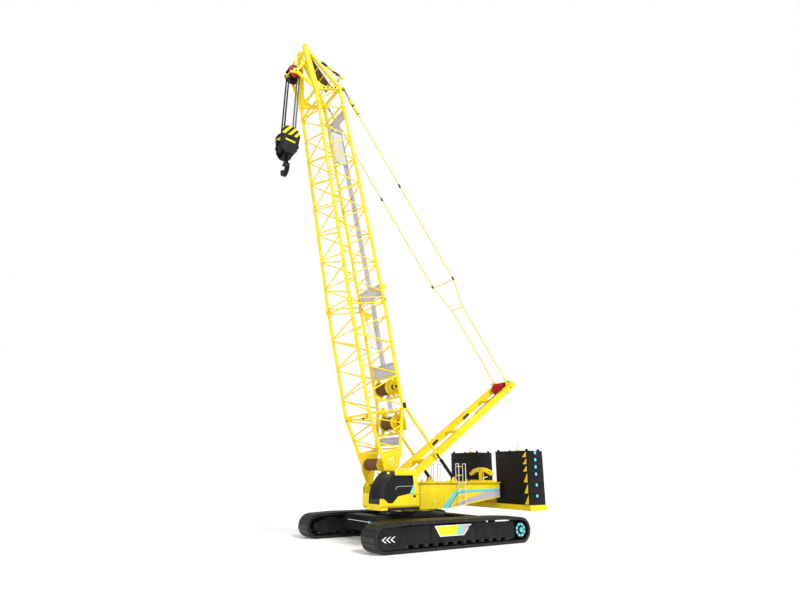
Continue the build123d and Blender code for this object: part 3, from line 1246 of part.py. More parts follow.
def main():
    os.makedirs("parts", exist_ok=True)
    left, right = Location((0, LEFT_Y, 0)), Location((0, -LEFT_Y, 0))
    both = {
        "track": [make_track()], "track_frame": [make_track_frame()],
        "track_rollers": make_rollers() + make_carriers(),
        "drive_sprocket": [make_sprocket()], "front_idler": [make_idler()],
    }
    for name, solids in both.items():
        put(f"{name}_left", *[solid.moved(left) for solid in solids])
        put(f"{name}_right", *[mirror_y(solid).moved(right) for solid in solids])
    put("carbody", make_carbody())
    beam = make_cross_beam()
    put("front_cross_beam", beam)
    put("rear_cross_beam", beam.mirror(Plane.YZ))
    put("slewing_ring", make_ring())
    put("upper_frame", make_upper_frame())
    put("foot_pins", *make_foot_pins())
    put("boom_foot_section", *make_foot_section())
    put("boom_top_section", *make_top_section())
    put("boom_head", *make_boom_head())
    put("boom_cross_members", *make_cross_members())
    put("winch_frames", *make_winch_frames())
    put("head_sheaves", make_head_sheaves())
    for name, n, s, half, radius, flange, reach in WINCHES:
        put(name, make_drum(half, radius, flange, reach).moved(Location((n, 0, s))).moved(BOOM_FRAME))
    put("boom_catwalk", *make_catwalk())
    put("mast_frame", make_mast())
    put("mast_sheaves", make_mast_sheaves())
    put("pendant_bars", *make_pendants())
    put("backstop_rods", *make_stop_rods())
    put("backstop_tubes", *make_stop_tubes())
    put("hoist_ropes", *make_ropes())
    put("block_sheaves", make_block_sheaves())
    put("hook_block", make_hook_block())
    put("hook", make_hook())
    put("counterweight_tray", make_tray())
    put("counterweight_slabs_left", *make_slabs(1))
    put("counterweight_slabs_right", *make_slabs(-1))
    for name, solids in make_cab().items():
        put(name, *solids)
    seat, consoles = make_cab_inside()
    put("cab_seat", seat)
    put("cab_console", *consoles)
    put("cab_platform", make_cab_platform())
    put("ladders", make_ladder(-2470), mirror_y(make_ladder(-2800)))
    put("rear_yoke", make_rear_yoke())
    put("engine_housing", make_power_housing())
    put("engine_block", block((-1500, 700), (-2500, -1600), (1780 + SEAT, 2600)))


main()
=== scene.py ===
import bpy
from math import acos, atan2, cos, hypot, pi, radians, sin
from mathutils import Matrix, Vector


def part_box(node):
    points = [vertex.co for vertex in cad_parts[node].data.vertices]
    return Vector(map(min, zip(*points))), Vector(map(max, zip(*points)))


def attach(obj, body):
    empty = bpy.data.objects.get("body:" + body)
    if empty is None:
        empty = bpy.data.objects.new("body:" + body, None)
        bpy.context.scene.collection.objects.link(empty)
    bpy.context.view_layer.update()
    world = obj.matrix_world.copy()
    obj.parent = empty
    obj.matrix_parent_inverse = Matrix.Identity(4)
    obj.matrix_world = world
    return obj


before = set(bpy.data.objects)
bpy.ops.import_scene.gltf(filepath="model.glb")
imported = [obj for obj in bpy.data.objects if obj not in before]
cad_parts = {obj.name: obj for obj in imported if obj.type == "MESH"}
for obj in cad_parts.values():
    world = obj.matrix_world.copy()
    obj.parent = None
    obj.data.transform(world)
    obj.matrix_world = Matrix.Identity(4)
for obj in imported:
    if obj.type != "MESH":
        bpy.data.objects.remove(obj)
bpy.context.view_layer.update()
bpy.ops.object.select_all(action="DESELECT")

AHEAD, ACROSS, UP = (1.0, 0.0, 0.0), (0.0, 1.0, 0.0), (0.0, 0.0, 1.0)
SIDES = (("left", 1), ("right", -1))
FAR = 99.0


def blend(low, high, share):
    """The number or point at a share of the way from one to another."""
    return low + (high - low) * share


def dial(node, settings):
    """Set the sockets of a node that take a plain value."""
    for socket, value in settings.items():
        node.inputs[socket].default_value = value


def dim(colour, share):
    """A colour at a share of its strength."""
    return tuple(channel * share for channel in colour)


# Paints and finishes. Every pattern reads object coordinates, in metres.
class Finish:
    """A material under construction: its node tree, its shader and its object coordinates."""

    def __init__(self, name, rough, metal=0.0):
        self.material = bpy.data.materials.new(name)
        self.material.use_nodes = True
        self.tree = self.material.node_tree
        self.shader = self.tree.nodes["Principled BSDF"]
        self.place = self.tree.nodes.new("ShaderNodeTexCoord").outputs["Object"]
        dial(self.shader, {"Roughness": rough, "Metallic": metal})

    def node(self, kind, **settings):
        made = self.tree.nodes.new(kind)
        for key, value in settings.items():
            setattr(made, key, value)
        return made

    def link(self, source, target):
        self.tree.links.new(source, target)

    def stretched(self, scale):
        mapping = self.node("ShaderNodeMapping")
        dial(mapping, {"Scale": scale})
        self.link(self.place, mapping.inputs["Vector"])
        return mapping.outputs["Vector"]

    def cloud(self, size, detail, stretch=None):
        """Soft noise whose blotches are about size metres across."""
        noise = self.node("ShaderNodeTexNoise")
        dial(noise, {"Scale": 1.0 / size, "Detail": detail})
        self.link(self.stretched(stretch) if stretch else self.place, noise.inputs["Vector"])
        return noise.outputs["Fac"]

    def between(self, value, low, high, to_low=0.0, to_high=1.0):
        """Spread the values between low and high over a new span."""
        spread = self.node("ShaderNodeMapRange", clamp=True)
        dial(spread, {"From Min": low, "From Max": high, "To Min": to_low, "To Max": to_high})
        self.link(value, spread.inputs["Value"])
        return spread.outputs["Result"]

    def blotches(self, size, detail, low, high, to_low=0.0, to_high=1.0, stretch=None):
        """Soft noise, spread from between low and high over a new span."""
        return self.between(self.cloud(size, detail, stretch), low, high, to_low, to_high)

    def mottled(self, colour, dark, light, size, detail, low=0.35, high=0.65):
        """A colour that wanders between a dark and a light share of itself."""
        return self.over(dim(colour, dark), dim(colour, light), self.blotches(size, detail, low, high))

    def maths(self, operation, first, second):
        made = self.node("ShaderNodeMath", operation=operation)
        for socket, value in zip(made.inputs, (first, second)):
            if isinstance(value, (int, float)):
                socket.default_value = value
            else:
                self.link(value, socket)
        return made.outputs[0]

    def along(self, direction):
        """Distance of a point along a direction."""
        made = self.node("ShaderNodeVectorMath", operation="DOT_PRODUCT")
        dial(made, {1: direction})
        self.link(self.place, made.inputs[0])
        return made.outputs["Value"]

    def stripes(self, direction, period):
        """1 on every other stripe of those that follow each other along a direction."""
        steps = self.maths("FRACT", self.maths("DIVIDE", self.along(direction), period), 0.0)
        return self.maths("LESS_THAN", steps, 0.5)

    def inside(self, *limits):
        """1 where a point is between every pair of limits, each (direction, low, high)."""
        mask = None
        for direction, low, high in limits:
            reach = self.along(direction)
            above = self.maths("GREATER_THAN", reach, low)
            part = self.maths("MULTIPLY", above, self.maths("LESS_THAN", reach, high))
            mask = part if mask is None else self.maths("MULTIPLY", mask, part)
        return mask

    def over(self, below, above, mask):
        """Lay one colour over another by a mask; either may be a plain colour."""
        mix = self.node("ShaderNodeMix", data_type="RGBA")
        for socket, colour in ((mix.inputs[6], below), (mix.inputs[7], above)):
            if isinstance(colour, tuple):
                socket.default_value = (*colour, 1.0)
            else:
                self.link(colour, socket)
        self.link(mask, mix.inputs[0])
        return mix.outputs[2]

    def colour(self, source):
        self.link(source, self.shader.inputs["Base Color"])

    def roughness(self, source):
        self.link(source, self.shader.inputs["Roughness"])

    def bump(self, height, depth, strength):
        made = self.node("ShaderNodeBump")
        dial(made, {"Distance": depth, "Strength": strength})
        self.link(height, made.inputs["Height"])
        self.link(made.outputs["Normal"], self.shader.inputs["Normal"])


STREAKS = (0.22, 0.15, 0.06)
CHIPS = (0.22, 0.17, 0.13)
DUST = (0.44, 0.39, 0.32)
RUST = (0.20, 0.105, 0.055)


def paint(name, colour, bands=(), rough=0.38, dust=0.35, wear=1.0, gloss=1.0, low=0.2, high=2.2):
    """Site-worn gloss paint: faded patches, rain streaks, chips and dust that settles low down."""
    finish = Finish(name, rough)
    shade = finish.mottled(colour, 0.86, 1.05, 1.3, 3.0)
    for band_colour, limits, *stripe in bands:
        mask = finish.inside(*limits)
        if stripe:
            mask = finish.maths("MULTIPLY", mask, finish.stripes(*stripe))
        shade = finish.over(shade, band_colour, mask)
    streaks = finish.blotches(0.09, 5.0, 0.56, 0.80, 0.0, 0.30, (1.0, 1.0, 0.08))
    shade = finish.over(shade, dim(STREAKS, wear), streaks)
    shade = finish.over(shade, CHIPS, finish.blotches(0.035, 6.0, 0.70, 0.74, 0.0, 0.5 * wear))
    height = finish.between(finish.along(UP), low, high, dust, 0.3 * dust)
    dusty = finish.maths("MULTIPLY", height, finish.blotches(0.5, 6.0, 0.30, 0.62, 0.4, 1.6))
    finish.colour(finish.over(shade, DUST, dusty))
    finish.roughness(finish.blotches(0.25, 5.0, 0.3, 0.7, rough - 0.08, rough + 0.20))
    finish.bump(finish.cloud(0.02, 3.0), 0.0015, 0.25)
    dial(finish.shader, {"Specular IOR Level": 0.28 * gloss, "Coat Weight": 0.05 * gloss,
                         "Coat Roughness": 0.22})
    return finish.material


def dull_paint(name, colour, bands=(), **settings):
    """Paint with little gloss and few marks, for what is black."""
    return paint(name, colour, bands, wear=0.08, gloss=0.35, **settings)


def bare_steel(name, colour, rough, rust, metal):
    """Bare or blackened steel with rust in patches and scuffs."""
    finish = Finish(name, rough, metal)
    shade = finish.mottled(colour, 0.75, 1.15, 0.12, 5.0)
    finish.colour(finish.over(shade, RUST, finish.blotches(0.22, 7.0, 0.50, 0.68, 0.0, rust)))
    finish.roughness(finish.blotches(0.06, 5.0, 0.3, 0.7, rough - 0.12, rough + 0.22))
    finish.bump(finish.cloud(0.03, 5.0), 0.003, 0.35)
    return finish.material


def plain_plastic(name, colour, rough=0.5):
    """Moulded plastic or rubber with a fine grain."""
    finish = Finish(name, rough)
    finish.colour(finish.mottled(colour, 0.85, 1.12, 0.2, 4.0))
    finish.roughness(finish.blotches(0.01, 3.0, 0.3, 0.7, rough - 0.06, rough + 0.1))
    finish.bump(finish.cloud(0.004, 2.0), 0.0006, 0.5)
    return finish.material


def window_glass(name, tint):
    """Dark tinted glass that still lets some light through."""
    finish = Finish(name, 0.06)
    finish.colour(finish.mottled(tint, 1.0, 1.5, 0.8, 2.0, 0.3, 0.7))
    finish.roughness(finish.blotches(0.15, 5.0, 0.4, 0.8, 0.03, 0.16))
    dial(finish.shader, {"Alpha": 0.93, "Specular IOR Level": 0.2})
    return finish.material


YELLOW = (0.93, 0.71, 0.002)
BLACK = (0.006, 0.006, 0.007)
SLAB_BLACK = (0.012, 0.011, 0.012)
GREY = (0.55, 0.55, 0.63)
CYAN = (0.13, 0.70, 0.76)
LILAC = (0.50, 0.47, 0.50)
WHITE = (0.95, 0.96, 0.99)
RED = (0.42, 0.008, 0.010)
ROPE = (0.20, 0.11, 0.035)
EDGE_BLUE = (0.10, 0.30, 0.70)
RAIL_WHITE = (0.82, 0.82, 0.83)
DARK_RED = (0.26, 0.007, 0.007)
PALE_ROPE = (0.20, 0.20, 0.22)
LINE_BLUE = (0.10, 0.36, 0.56)
SEAM_BROWN = (0.03, 0.02, 0.01)
ROD_BROWN = (0.07, 0.045, 0.02)


# Places on the crane, in metres
LEAN = radians(13.05)
FOOT = Vector((2.12, 0.0, 2.83))
# Sections of the boom: level, n of the front chords, n of the back chords, half width
STATIONS = [(1.5, 0.31, -0.8, 1.19), (3.97, 0.75, -1.47, 1.316), (10.15, 0.79, -1.49, 1.316),
            (22.7, 0.555, -1.205, 1.098)]
TRACK_Y, SIDE_Y, HUB_Y = 3.51, 4.04, 3.98
WHEEL_X, WHEEL_Z, ROLLER_Z = 4.36, 0.64, 0.2903
MAST_FOOT_X, MAST_FOOT_Z = 0.6, 3.3
MAST_TOP_X, MAST_TOP_Z = -7.43, 9.4
MAST_TURN = atan2(MAST_TOP_Z - MAST_FOOT_Z, MAST_FOOT_X - MAST_TOP_X)
MAST_RUN = hypot(MAST_TOP_Z - MAST_FOOT_Z, MAST_FOOT_X - MAST_TOP_X)
BLOCK_DROP, CHEEK_Y = 4.8, 0.48
PENDANT_Y, STOP_Y = 1.07, 1.12
STOP_FOOT = Vector((-2.13, 0.0, 3.22))
DECK_TOP, DECK_EDGE = 3.018, 1.298
DOOR_Y = 2.752
EXHAUST_X, EXHAUST_Y = 0.55, -2.05
HOUSING_SIDE, HOUSING_TOP = -2.71, 2.895


def boom_at(n, y, s):
    """A point from its place on the boom: n to the boom's front, s up from its foot."""
    return Vector((FOOT.x + n * cos(LEAN) + s * sin(LEAN), y, FOOT.z + s * cos(LEAN) - n * sin(LEAN)))


def chord_at(s, front, side):
    """N and Y of a chord's centre at a level."""
    column = 1 if front else 2
    for low, high in zip(STATIONS, STATIONS[1:]):
        if s <= high[0] or high is STATIONS[-1]:
            share = (s - low[0]) / (high[0] - low[0])
            return blend(low[column], high[column], share), side * blend(low[3], high[3], share)


def back_at(s):
    """N of the back chords at a level."""
    return chord_at(s, 0, 1)[0]


def mast_at(n, y, along):
    """A point from its place on the mast: n to its upper side, along from its foot."""
    x, z = n * sin(MAST_TURN) - along * cos(MAST_TURN), n * cos(MAST_TURN) + along * sin(MAST_TURN)
    return Vector((MAST_FOOT_X + x, y, MAST_FOOT_Z + z))


HANG_PIN = boom_at(-1.45, 0.0, 24.0)
HANG_TURN = atan2(HANG_PIN.z - MAST_TOP_Z, HANG_PIN.x - MAST_TOP_X)
AXLE = boom_at(1.35, 0.0, 25.05)
BLOCK = AXLE - Vector((0.0, 0.0, BLOCK_DROP))


def pendant_at(y, along):
    """A point on a pendant bar: along runs down from the pins at the boom's head."""
    return HANG_PIN + Vector((-along * cos(HANG_TURN), y, -along * sin(HANG_TURN)))


def outline(*points):
    """Limits of a flat-sided patch drawn in X and Z, for the colour bands of a paint."""
    middle_x, middle_z = (sum(values) / len(points) for values in zip(*points))
    limits = []
    for (x0, z0), (x1, z1) in zip(points, points[1:] + points[:1]):
        out = Vector((z1 - z0, 0.0, x0 - x1)).normalized()
        if out.x * (middle_x - x0) + out.z * (middle_z - z0) > 0:
            out.negate()
        limits.append((tuple(out), -FAR, out.x * x0 + out.z * z0))
    return limits


# Colour bands: a colour, its limits and, where it is striped, the stripes' direction and period
girder_bands = [
    (LILAC, outline((-2.297, 2.429), (-5.6, 2.547), (-5.6, 2.215), (-1.65, 1.72), (-1.58, 1.70))),
    (CYAN, outline((-2.094, 2.581), (-5.6, 2.668), (-5.6, 2.545), (-2.297, 2.429))),
    (LINE_BLUE, outline((-2.27, 2.465), (-5.6, 2.585), (-5.6, 2.550), (-2.297, 2.429))),
    (CYAN, outline((-1.109, 1.676), (-2.094, 2.581), (-2.297, 2.46), (-1.582, 1.649))),
    (BLACK, outline((-1.60, 1.69), (-2.28, 2.449), (-2.33, 2.434), (-1.66, 1.70))),
    (SEAM_BROWN, [(AHEAD, 0.385, 0.405), (UP, 1.66, 2.97)]),
]
cab_bands = [
    (BLACK, [(AHEAD, 3.02, 4.0), (UP, 2.29, 3.70)]),
    (BLACK, [(AHEAD, 3.62, 4.0), (UP, 2.03, 2.30), (ACROSS, -FAR, 2.60)]),
    (CYAN, outline((1.80, 2.89), (1.89, 2.89), (2.09, 2.51), (1.90, 2.51))),
]
block_top = outline(*((BLOCK.x + x, BLOCK.z + z) for x, z in
                      ((-0.58, 0.10), (0.58, 0.10), (0.50, 0.55), (0.0, 0.76), (-0.50, 0.55))))
block_bands = [(YELLOW, block_top, tuple(Vector((0.823, 0.0, 0.568)).normalized()), 0.30)]
rail_bands = [(BLACK, [(UP, -FAR, FAR)], UP, 0.42)]

yellow_paint = paint("yellow_paint", YELLOW, dust=0.05)
girder_paint = paint("girder_paint", YELLOW, girder_bands, dust=0.05)
cab_paint = paint("cab_nose_paint", YELLOW, cab_bands, dust=0.02)
yellow_high = paint("yellow_paint_boom", YELLOW, dust=0.02)
black_paint = dull_paint("black_paint", BLACK, dust=0.02, rough=0.34)
frame_black = dull_paint("track_frame_black", BLACK, dust=0.03, rough=0.36, low=0.0, high=1.4)
slab_black = dull_paint("slab_black", SLAB_BLACK, dust=0.01, rough=0.36)
grey_paint = paint("grey_paint", GREY, dust=0.05)
rail_white = paint("rail_white", RAIL_WHITE, dust=0.02, wear=0.6)
cyan_paint = paint("cyan_paint", CYAN, dust=0.03)
lilac_paint = paint("lilac_paint", LILAC, dust=0.03)
white_paint = paint("white_paint", WHITE, dust=0.03)
blue_edge = paint("blue_edge_paint", EDGE_BLUE, dust=0.03)
red_paint = paint("red_paint", RED, dust=0.0, wear=0.3, gloss=0.5)
dark_red = paint("dark_red_paint", DARK_RED, dust=0.0, wear=0.3, gloss=0.5)
hook_block_paint = dull_paint("hook_block_paint", BLACK, block_bands, dust=0.01)
hazard_paint = paint("hazard_rail_paint", YELLOW, rail_bands, dust=0.03)
pendant_paint = paint("pendant_paint", YELLOW, [(ROD_BROWN, [(UP, 25.55, FAR)])], dust=0.03)
winch_paint = paint("winch_paint", YELLOW, [(ROPE, [(ACROSS, -0.575, 0.575)])], dust=0.05)
rope_paint = paint("rope_black", BLACK, [(PALE_ROPE, [(AHEAD, 0.0, AXLE.x)])], dust=0.0, rough=0.4, wear=0.1)
track_steel = bare_steel("track_steel", (0.012, 0.011, 0.011), 0.44, 0.10, 0.30)
dark_steel = bare_steel("dark_steel", (0.022, 0.021, 0.021), 0.42, 0.08, 0.4)
bright_steel = bare_steel("bright_steel", (0.50, 0.50, 0.51), 0.32, 0.10, 0.95)
brown_steel = bare_steel("brown_steel", (0.12, 0.055, 0.012), 0.5, 0.2, 0.3)
rope_steel = bare_steel("winch_rope", (0.16, 0.075, 0.018), 0.5, 0.2, 0.3)
dark_plastic = plain_plastic("dark_plastic", (0.008, 0.008, 0.009))
rubber = plain_plastic("rubber", (0.007, 0.007, 0.008), 0.75)
seat_cover = plain_plastic("seat_cover", (0.05, 0.055, 0.07), 0.85)
lamp_lens = plain_plastic("lamp_lens", (0.75, 0.77, 0.80), 0.15)
red_lens = plain_plastic("red_lens", (0.75, 0.04, 0.02), 0.2)
cab_glass = window_glass("cab_glass", (0.006, 0.007, 0.008))

COATS = (
    (track_steel, ("track_left", "track_right")),
    (frame_black, ("track_frame_left", "track_frame_right", "drive_sprocket_left", "drive_sprocket_right",
                   "carbody", "front_cross_beam", "rear_cross_beam")),
    (dark_steel, ("track_rollers_left", "track_rollers_right", "front_idler_left", "front_idler_right",
                  "slewing_ring", "head_sheaves", "mast_sheaves", "block_sheaves", "engine_block")),
    (girder_paint, ("upper_frame",)),
    (yellow_paint, ("counterweight_tray", "cab_platform", "rear_yoke", "engine_housing")),
    (slab_black, ("counterweight_slabs_left", "counterweight_slabs_right")),
    (cab_paint, ("cab_shell", "cab_roof", "cab_door")),
    (cab_glass, ("windscreen", "cab_side_glass", "door_glass")),
    (seat_cover, ("cab_seat",)),
    (dark_plastic, ("cab_console",)),
    (rail_white, ("ladders",)),
    (bright_steel, ("foot_pins",)),
    (yellow_high, ("boom_foot_section", "boom_top_section", "boom_head", "boom_cross_members", "winch_frames",
                   "mast_frame", "backstop_tubes")),
    (grey_paint, ("boom_catwalk",)),
    (winch_paint, ("foot_winch_drum", "lower_winch_drum", "upper_winch_drum")),
    (pendant_paint, ("pendant_bars",)),
    (rope_paint, ("hoist_ropes",)),
    (hook_block_paint, ("hook_block",)),
    (black_paint, ("hook", "backstop_rods")),
)
for coat, nodes in COATS:
    for node in nodes:
        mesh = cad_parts[node].data
        mesh.materials.clear()
        mesh.materials.append(coat)


# Shaping. Each helper adds a primitive, shapes it and leaves its place in its mesh.
def only(*objects):
    """Select these objects and no others."""
    bpy.ops.object.select_all(action="DESELECT")
    for each in objects:
        each.select_set(True)
    bpy.context.view_layer.objects.active = objects[0]


def settled(made, coat):
    """Put an object's place into its mesh and give it a finish."""
    only(made)
    bpy.ops.object.transform_apply(location=True, rotation=True, scale=True)
    made.data.materials.append(coat)
    return made


def softened(made, width, segments=2):
    """Round off the sharp edges."""
    edge = made.modifiers.new("edge", "BEVEL")
    edge.width, edge.segments, edge.limit_method = width, segments, "ANGLE"
    only(made)
    bpy.ops.object.modifier_apply(modifier=edge.name)
    return made


def brick(low, high, coat, edge=0.006, segments=2):
    """A block between two corners, with softened edges."""
    size = [b - a for a, b in zip(low, high)]
    middle = [(a + b) / 2 for a, b in zip(low, high)]
    bpy.ops.mesh.primitive_cube_add(size=1.0, location=middle, scale=size)
    made = settled(bpy.context.object, coat)
    return softened(made, min(edge, min(size) * 0.4), segments)


def boom_brick(n, y, s, coat, edge=0.006):
    """A block on the boom between its low and high ends in n, y and s."""
    spans = (n, y, s)
    size = [high - low for low, high in spans]
    middle = boom_at(*((low + high) / 2 for low, high in spans))
    bpy.ops.mesh.primitive_cube_add(size=1.0, location=middle, rotation=(0.0, LEAN, 0.0), scale=size)
    made = settled(bpy.context.object, coat)
    return softened(made, min(edge, 0.4 * min(size)))


def rod(start, end, radius, coat, sides=14, edge=0.0):
    """A round bar between two points, with its rims eased."""
    start, end = Vector(start), Vector(end)
    run = end - start
    turn = run.to_track_quat("Z", "X").to_euler()
    bpy.ops.mesh.primitive_cylinder_add(vertices=sides, radius=radius, depth=run.length,
                                        location=(start + end) / 2, rotation=turn)
    made = settled(bpy.context.object, coat)
    return softened(made, edge or min(radius, run.length) * 0.15, 1)


def pin(place, start, end, radius, coat, sides=14, edge=0.0):
    """A round bar across the crane, level with a place, from one Y to another."""
    x, _, z = place
    return rod((x, start, z), (x, end, z), radius, coat, sides, edge)


def bar(start, end, across, deep, coat, edge=0.006):
    """A square-edged bar between two points, with across measured along Y."""
    start, end = Vector(start), Vector(end)
    along = (end - start).normalized()
    side = (Vector((0.0, 1.0, 0.0)) - along * along.y).normalized()
    turn = Matrix((side, along.cross(side), along)).transposed()
    bpy.ops.mesh.primitive_cube_add(size=1.0, location=(start + end) / 2, rotation=turn.to_euler(),
                                    scale=(across, deep, (end - start).length))
    made = settled(bpy.context.object, coat)
    return softened(made, min(edge, across * 0.4, deep * 0.4))


def plate(points, push, coat, edge=0.003):
    """A flat plate cut from a block along the edges between its corners."""
    points, push = [Vector(point) for point in points], Vector(push)
    middle = sum(points, Vector()) / len(points)
    reach = 2.4 * max((point - middle).length for point in points)
    bpy.ops.mesh.primitive_cube_add(size=1.0, location=middle + push / 2, scale=(reach, reach, push.length),
                                    rotation=push.to_track_quat("Z", "X").to_euler())
    made = settled(bpy.context.object, coat)
    bpy.ops.object.mode_set(mode="EDIT")
    for a, b in zip(points, points[1:] + points[:1]):
        out = (b - a).cross(push).normalized()
        if out.dot(a - middle) < 0:
            out.negate()
        bpy.ops.mesh.select_all(action="SELECT")
        bpy.ops.mesh.bisect(plane_co=a, plane_no=out, use_fill=True, clear_outer=True)
    bpy.ops.object.mode_set(mode="OBJECT")
    return softened(made, edge, 1) if edge else made


def shrunk(points, share):
    """The corners of a plate, drawn in towards their middle."""
    middle = sum(points, Vector()) / len(points)
    return [blend(middle, point, share) for point in points]


def curved_guard(centre, radius, half, start, sweep, coat):
    """A sheet bent round an axis across the crane, from one angle through a sweep under half a turn."""
    thick = 0.014
    bpy.ops.mesh.primitive_cylinder_add(vertices=48, radius=radius, depth=2 * half, location=centre,
                                        rotation=(pi / 2, 0.0, 0.0), end_fill_type="NOTHING")
    made = settled(bpy.context.object, coat)
    bpy.ops.object.mode_set(mode="EDIT")
    for angle, turn in ((start, 1.0), (start + sweep, -1.0)):
        out = Vector((sin(angle) * turn, 0.0, -cos(angle) * turn))
        bpy.ops.mesh.select_all(action="SELECT")
        bpy.ops.mesh.bisect(plane_co=centre, plane_no=out, clear_outer=True)
    bpy.ops.object.mode_set(mode="OBJECT")
    wall = made.modifiers.new("wall", "SOLIDIFY")
    wall.thickness, wall.offset = thick, 0.0
    only(made)
    bpy.ops.object.modifier_apply(modifier=wall.name)
    return softened(made, thick * 0.3, 1)


def rope_ring(radius, thick, coat):
    """One turn of rope round an axis across the crane."""
    bpy.ops.mesh.primitive_torus_add(rotation=(pi / 2, 0.0, 0.0), major_radius=radius, minor_radius=thick,
                                     major_segments=36, minor_segments=6)
    return settled(bpy.context.object, coat)


def pipe_run(points, radius, coat, sides=3):
    """A bent tube that runs smoothly past its points."""
    curve = bpy.data.curves.new("run", "CURVE")
    curve.dimensions, curve.use_fill_caps, curve.resolution_u = "3D", True, 6
    curve.bevel_depth, curve.bevel_resolution = radius, sides - 1
    spline = curve.splines.new("NURBS")
    spline.points.add(len(points) - 1)
    for spot, place in zip(spline.points, points):
        spot.co = (*place, 1.0)
    spline.order_u, spline.use_endpoint_u = 3, True
    made = bpy.data.objects.new("run", curve)
    bpy.context.scene.collection.objects.link(made)
    only(made)
    bpy.ops.object.convert(target="MESH")
    return settled(bpy.context.object, coat)


def copies(made, places):
    """The same piece at every place, each copy with its own mesh."""
    found = []
    for place in places:
        copy = made.copy()
        copy.data = made.data.copy()
        copy.data.transform(place)
        bpy.context.scene.collection.objects.link(copy)
        found.append(copy)
    bpy.data.objects.remove(made)
    return found


def shifted(made, steps):
    """The same piece again at every step from its place."""
    return copies(made, [Matrix.Translation(step) for step in steps])


def piece(name, body, parts):
    """Join parts into one named piece that rides on a body."""
    only(*parts)
    if len(parts) > 1:
        bpy.ops.object.join()
    whole = bpy.context.view_layer.objects.active
    whole.name = whole.data.name = name
    only(whole)
    bpy.ops.object.shade_smooth_by_angle(angle=radians(35.0))
    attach(whole, body)


def side_piece(name, body, parts, side):
    """A piece made for the left side, and moved over as its mirror image for the right."""
    if side < 0:
        for each in parts:
            each.data.transform(Matrix.Scale(-1.0, 4, ACROSS))
            each.data.flip_normals()
    piece(name, body, parts)


def bolts(places, outward, radius):
    """Hexagon heads on washers, standing on a face that looks outward."""
    outward = Vector(outward)
    washer = rod((0, 0, 0), outward * radius * 0.3, radius * 1.35, dark_steel, 10)
    head = rod((0, 0, 0), outward * radius * 0.9, radius, dark_steel, 6)
    only(washer, head)
    bpy.ops.object.join()
    return shifted(bpy.context.view_layer.objects.active, places)


def ring_of(count, centre, radius):
    """Places on a circle round an axis across the crane."""
    turns = [2 * pi * i / count for i in range(count)]
    return [Vector(centre) + Vector((radius * cos(turn), 0.0, radius * sin(turn))) for turn in turns]


# Tracks
SHOE_COUNT, ROLLER_COUNT = 78, 12
ROLLER_REACH = WHEEL_X - 1.115
MARK_Z = 0.622
# What the loop runs round: X, Z and radius
BELT_CIRCLES = [(-WHEEL_X, WHEEL_Z, WHEEL_Z), (WHEEL_X, WHEEL_Z, WHEEL_Z),
                (3.0, 0.845, 0.5), (-3.0, 0.845, 0.5)]


def belt_runs():
    """Each straight run of the loop: circle left, circle met, outward angle, length and bend after it."""
    pairs = list(zip(BELT_CIRCLES, BELT_CIRCLES[1:] + BELT_CIRCLES[:1]))
    turns, lengths = [], []
    for (x0, z0, r0), (x1, z1, r1) in pairs:
        apart = hypot(x1 - x0, z1 - z0)
        turns.append(atan2(z1 - z0, x1 - x0) - acos((r0 - r1) / apart))
        lengths.append((apart ** 2 - (r0 - r1) ** 2) ** 0.5)
    bends = [(after - turn) % (2 * pi) for turn, after in zip(turns, turns[1:] + turns[:1])]
    return [(*pair, *run) for pair, *run in zip(pairs, turns, lengths, bends)]


def belt_point(runs, distance):
    """X, Z and outward angle at a distance along the loop's outer face."""
    for (x0, z0, r0), (x1, z1, r1), turn, length, bend in runs:
        if distance <= length:
            x, z = x0 + r0 * cos(turn) - distance * sin(turn), z0 + r0 * sin(turn) + distance * cos(turn)
            return x, z, turn
        distance -= length
        if distance <= r1 * bend:
            angle = turn + distance / r1
            return x1 + r1 * cos(angle), z1 + r1 * sin(angle), angle
        distance -= r1 * bend
    return belt_point(runs, distance)


def first_gap(node):
    """X of the rearmost gap between shoes on the flat lower run, read from the track's own corners."""
    low = sorted({round(v.co.x, 4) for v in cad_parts[node].data.vertices
                  if v.co.z < 0.0005 and abs(v.co.x) < 4.2})
    return next((a + b) / 2 for a, b in zip(low, low[1:]) if 0.02 < b - a < 0.05)


def track_links():
    """Hinge knuckles in the gaps between the shoes."""
    runs = belt_runs()
    around = sum(length + met[2] * bend for _, met, _, length, bend in runs)
    pitch = around / SHOE_COUNT
    for side_name, side in SIDES:
        first = (first_gap(f"track_{side_name}") + WHEEL_X) % pitch
        knuckle = brick((-0.030, -0.055, -0.040), (-0.006, 0.055, 0.005), track_steel, 0.004, 1)
        knuckle.data.transform(Matrix.Diagonal((1, 1, 0.42, 1)))
        places = []
        for i in range(SHOE_COUNT):
            x, z, angle = belt_point(runs, (first + i * pitch) % around)
            turn = Matrix.Rotation(-angle, 4, "Y")
            for y in (-0.47, -0.20, 0.20, 0.47):
                places.append(Matrix.Translation((x, side * TRACK_Y + y, z)) @ turn)
        piece(f"track_links_{side_name}", "undercarriage", copies(knuckle, places))


def beam_strip():
    """Pale strip with a round mark along the front cross beam."""
    low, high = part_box("front_cross_beam")
    z = low[2] + 0.62 * (high[2] - low[2])
    face = high[0]
    parts = [brick((face - 0.004, -2.3, z - 0.016), (face + 0.008, 2.3, z + 0.016), rail_white, 0.002, 1),
             rod((face - 0.002, 0.0, z), (face + 0.018, 0.0, z), 0.065, cyan_paint, 24, 0.004)]
    piece("beam_strip", "undercarriage", parts)


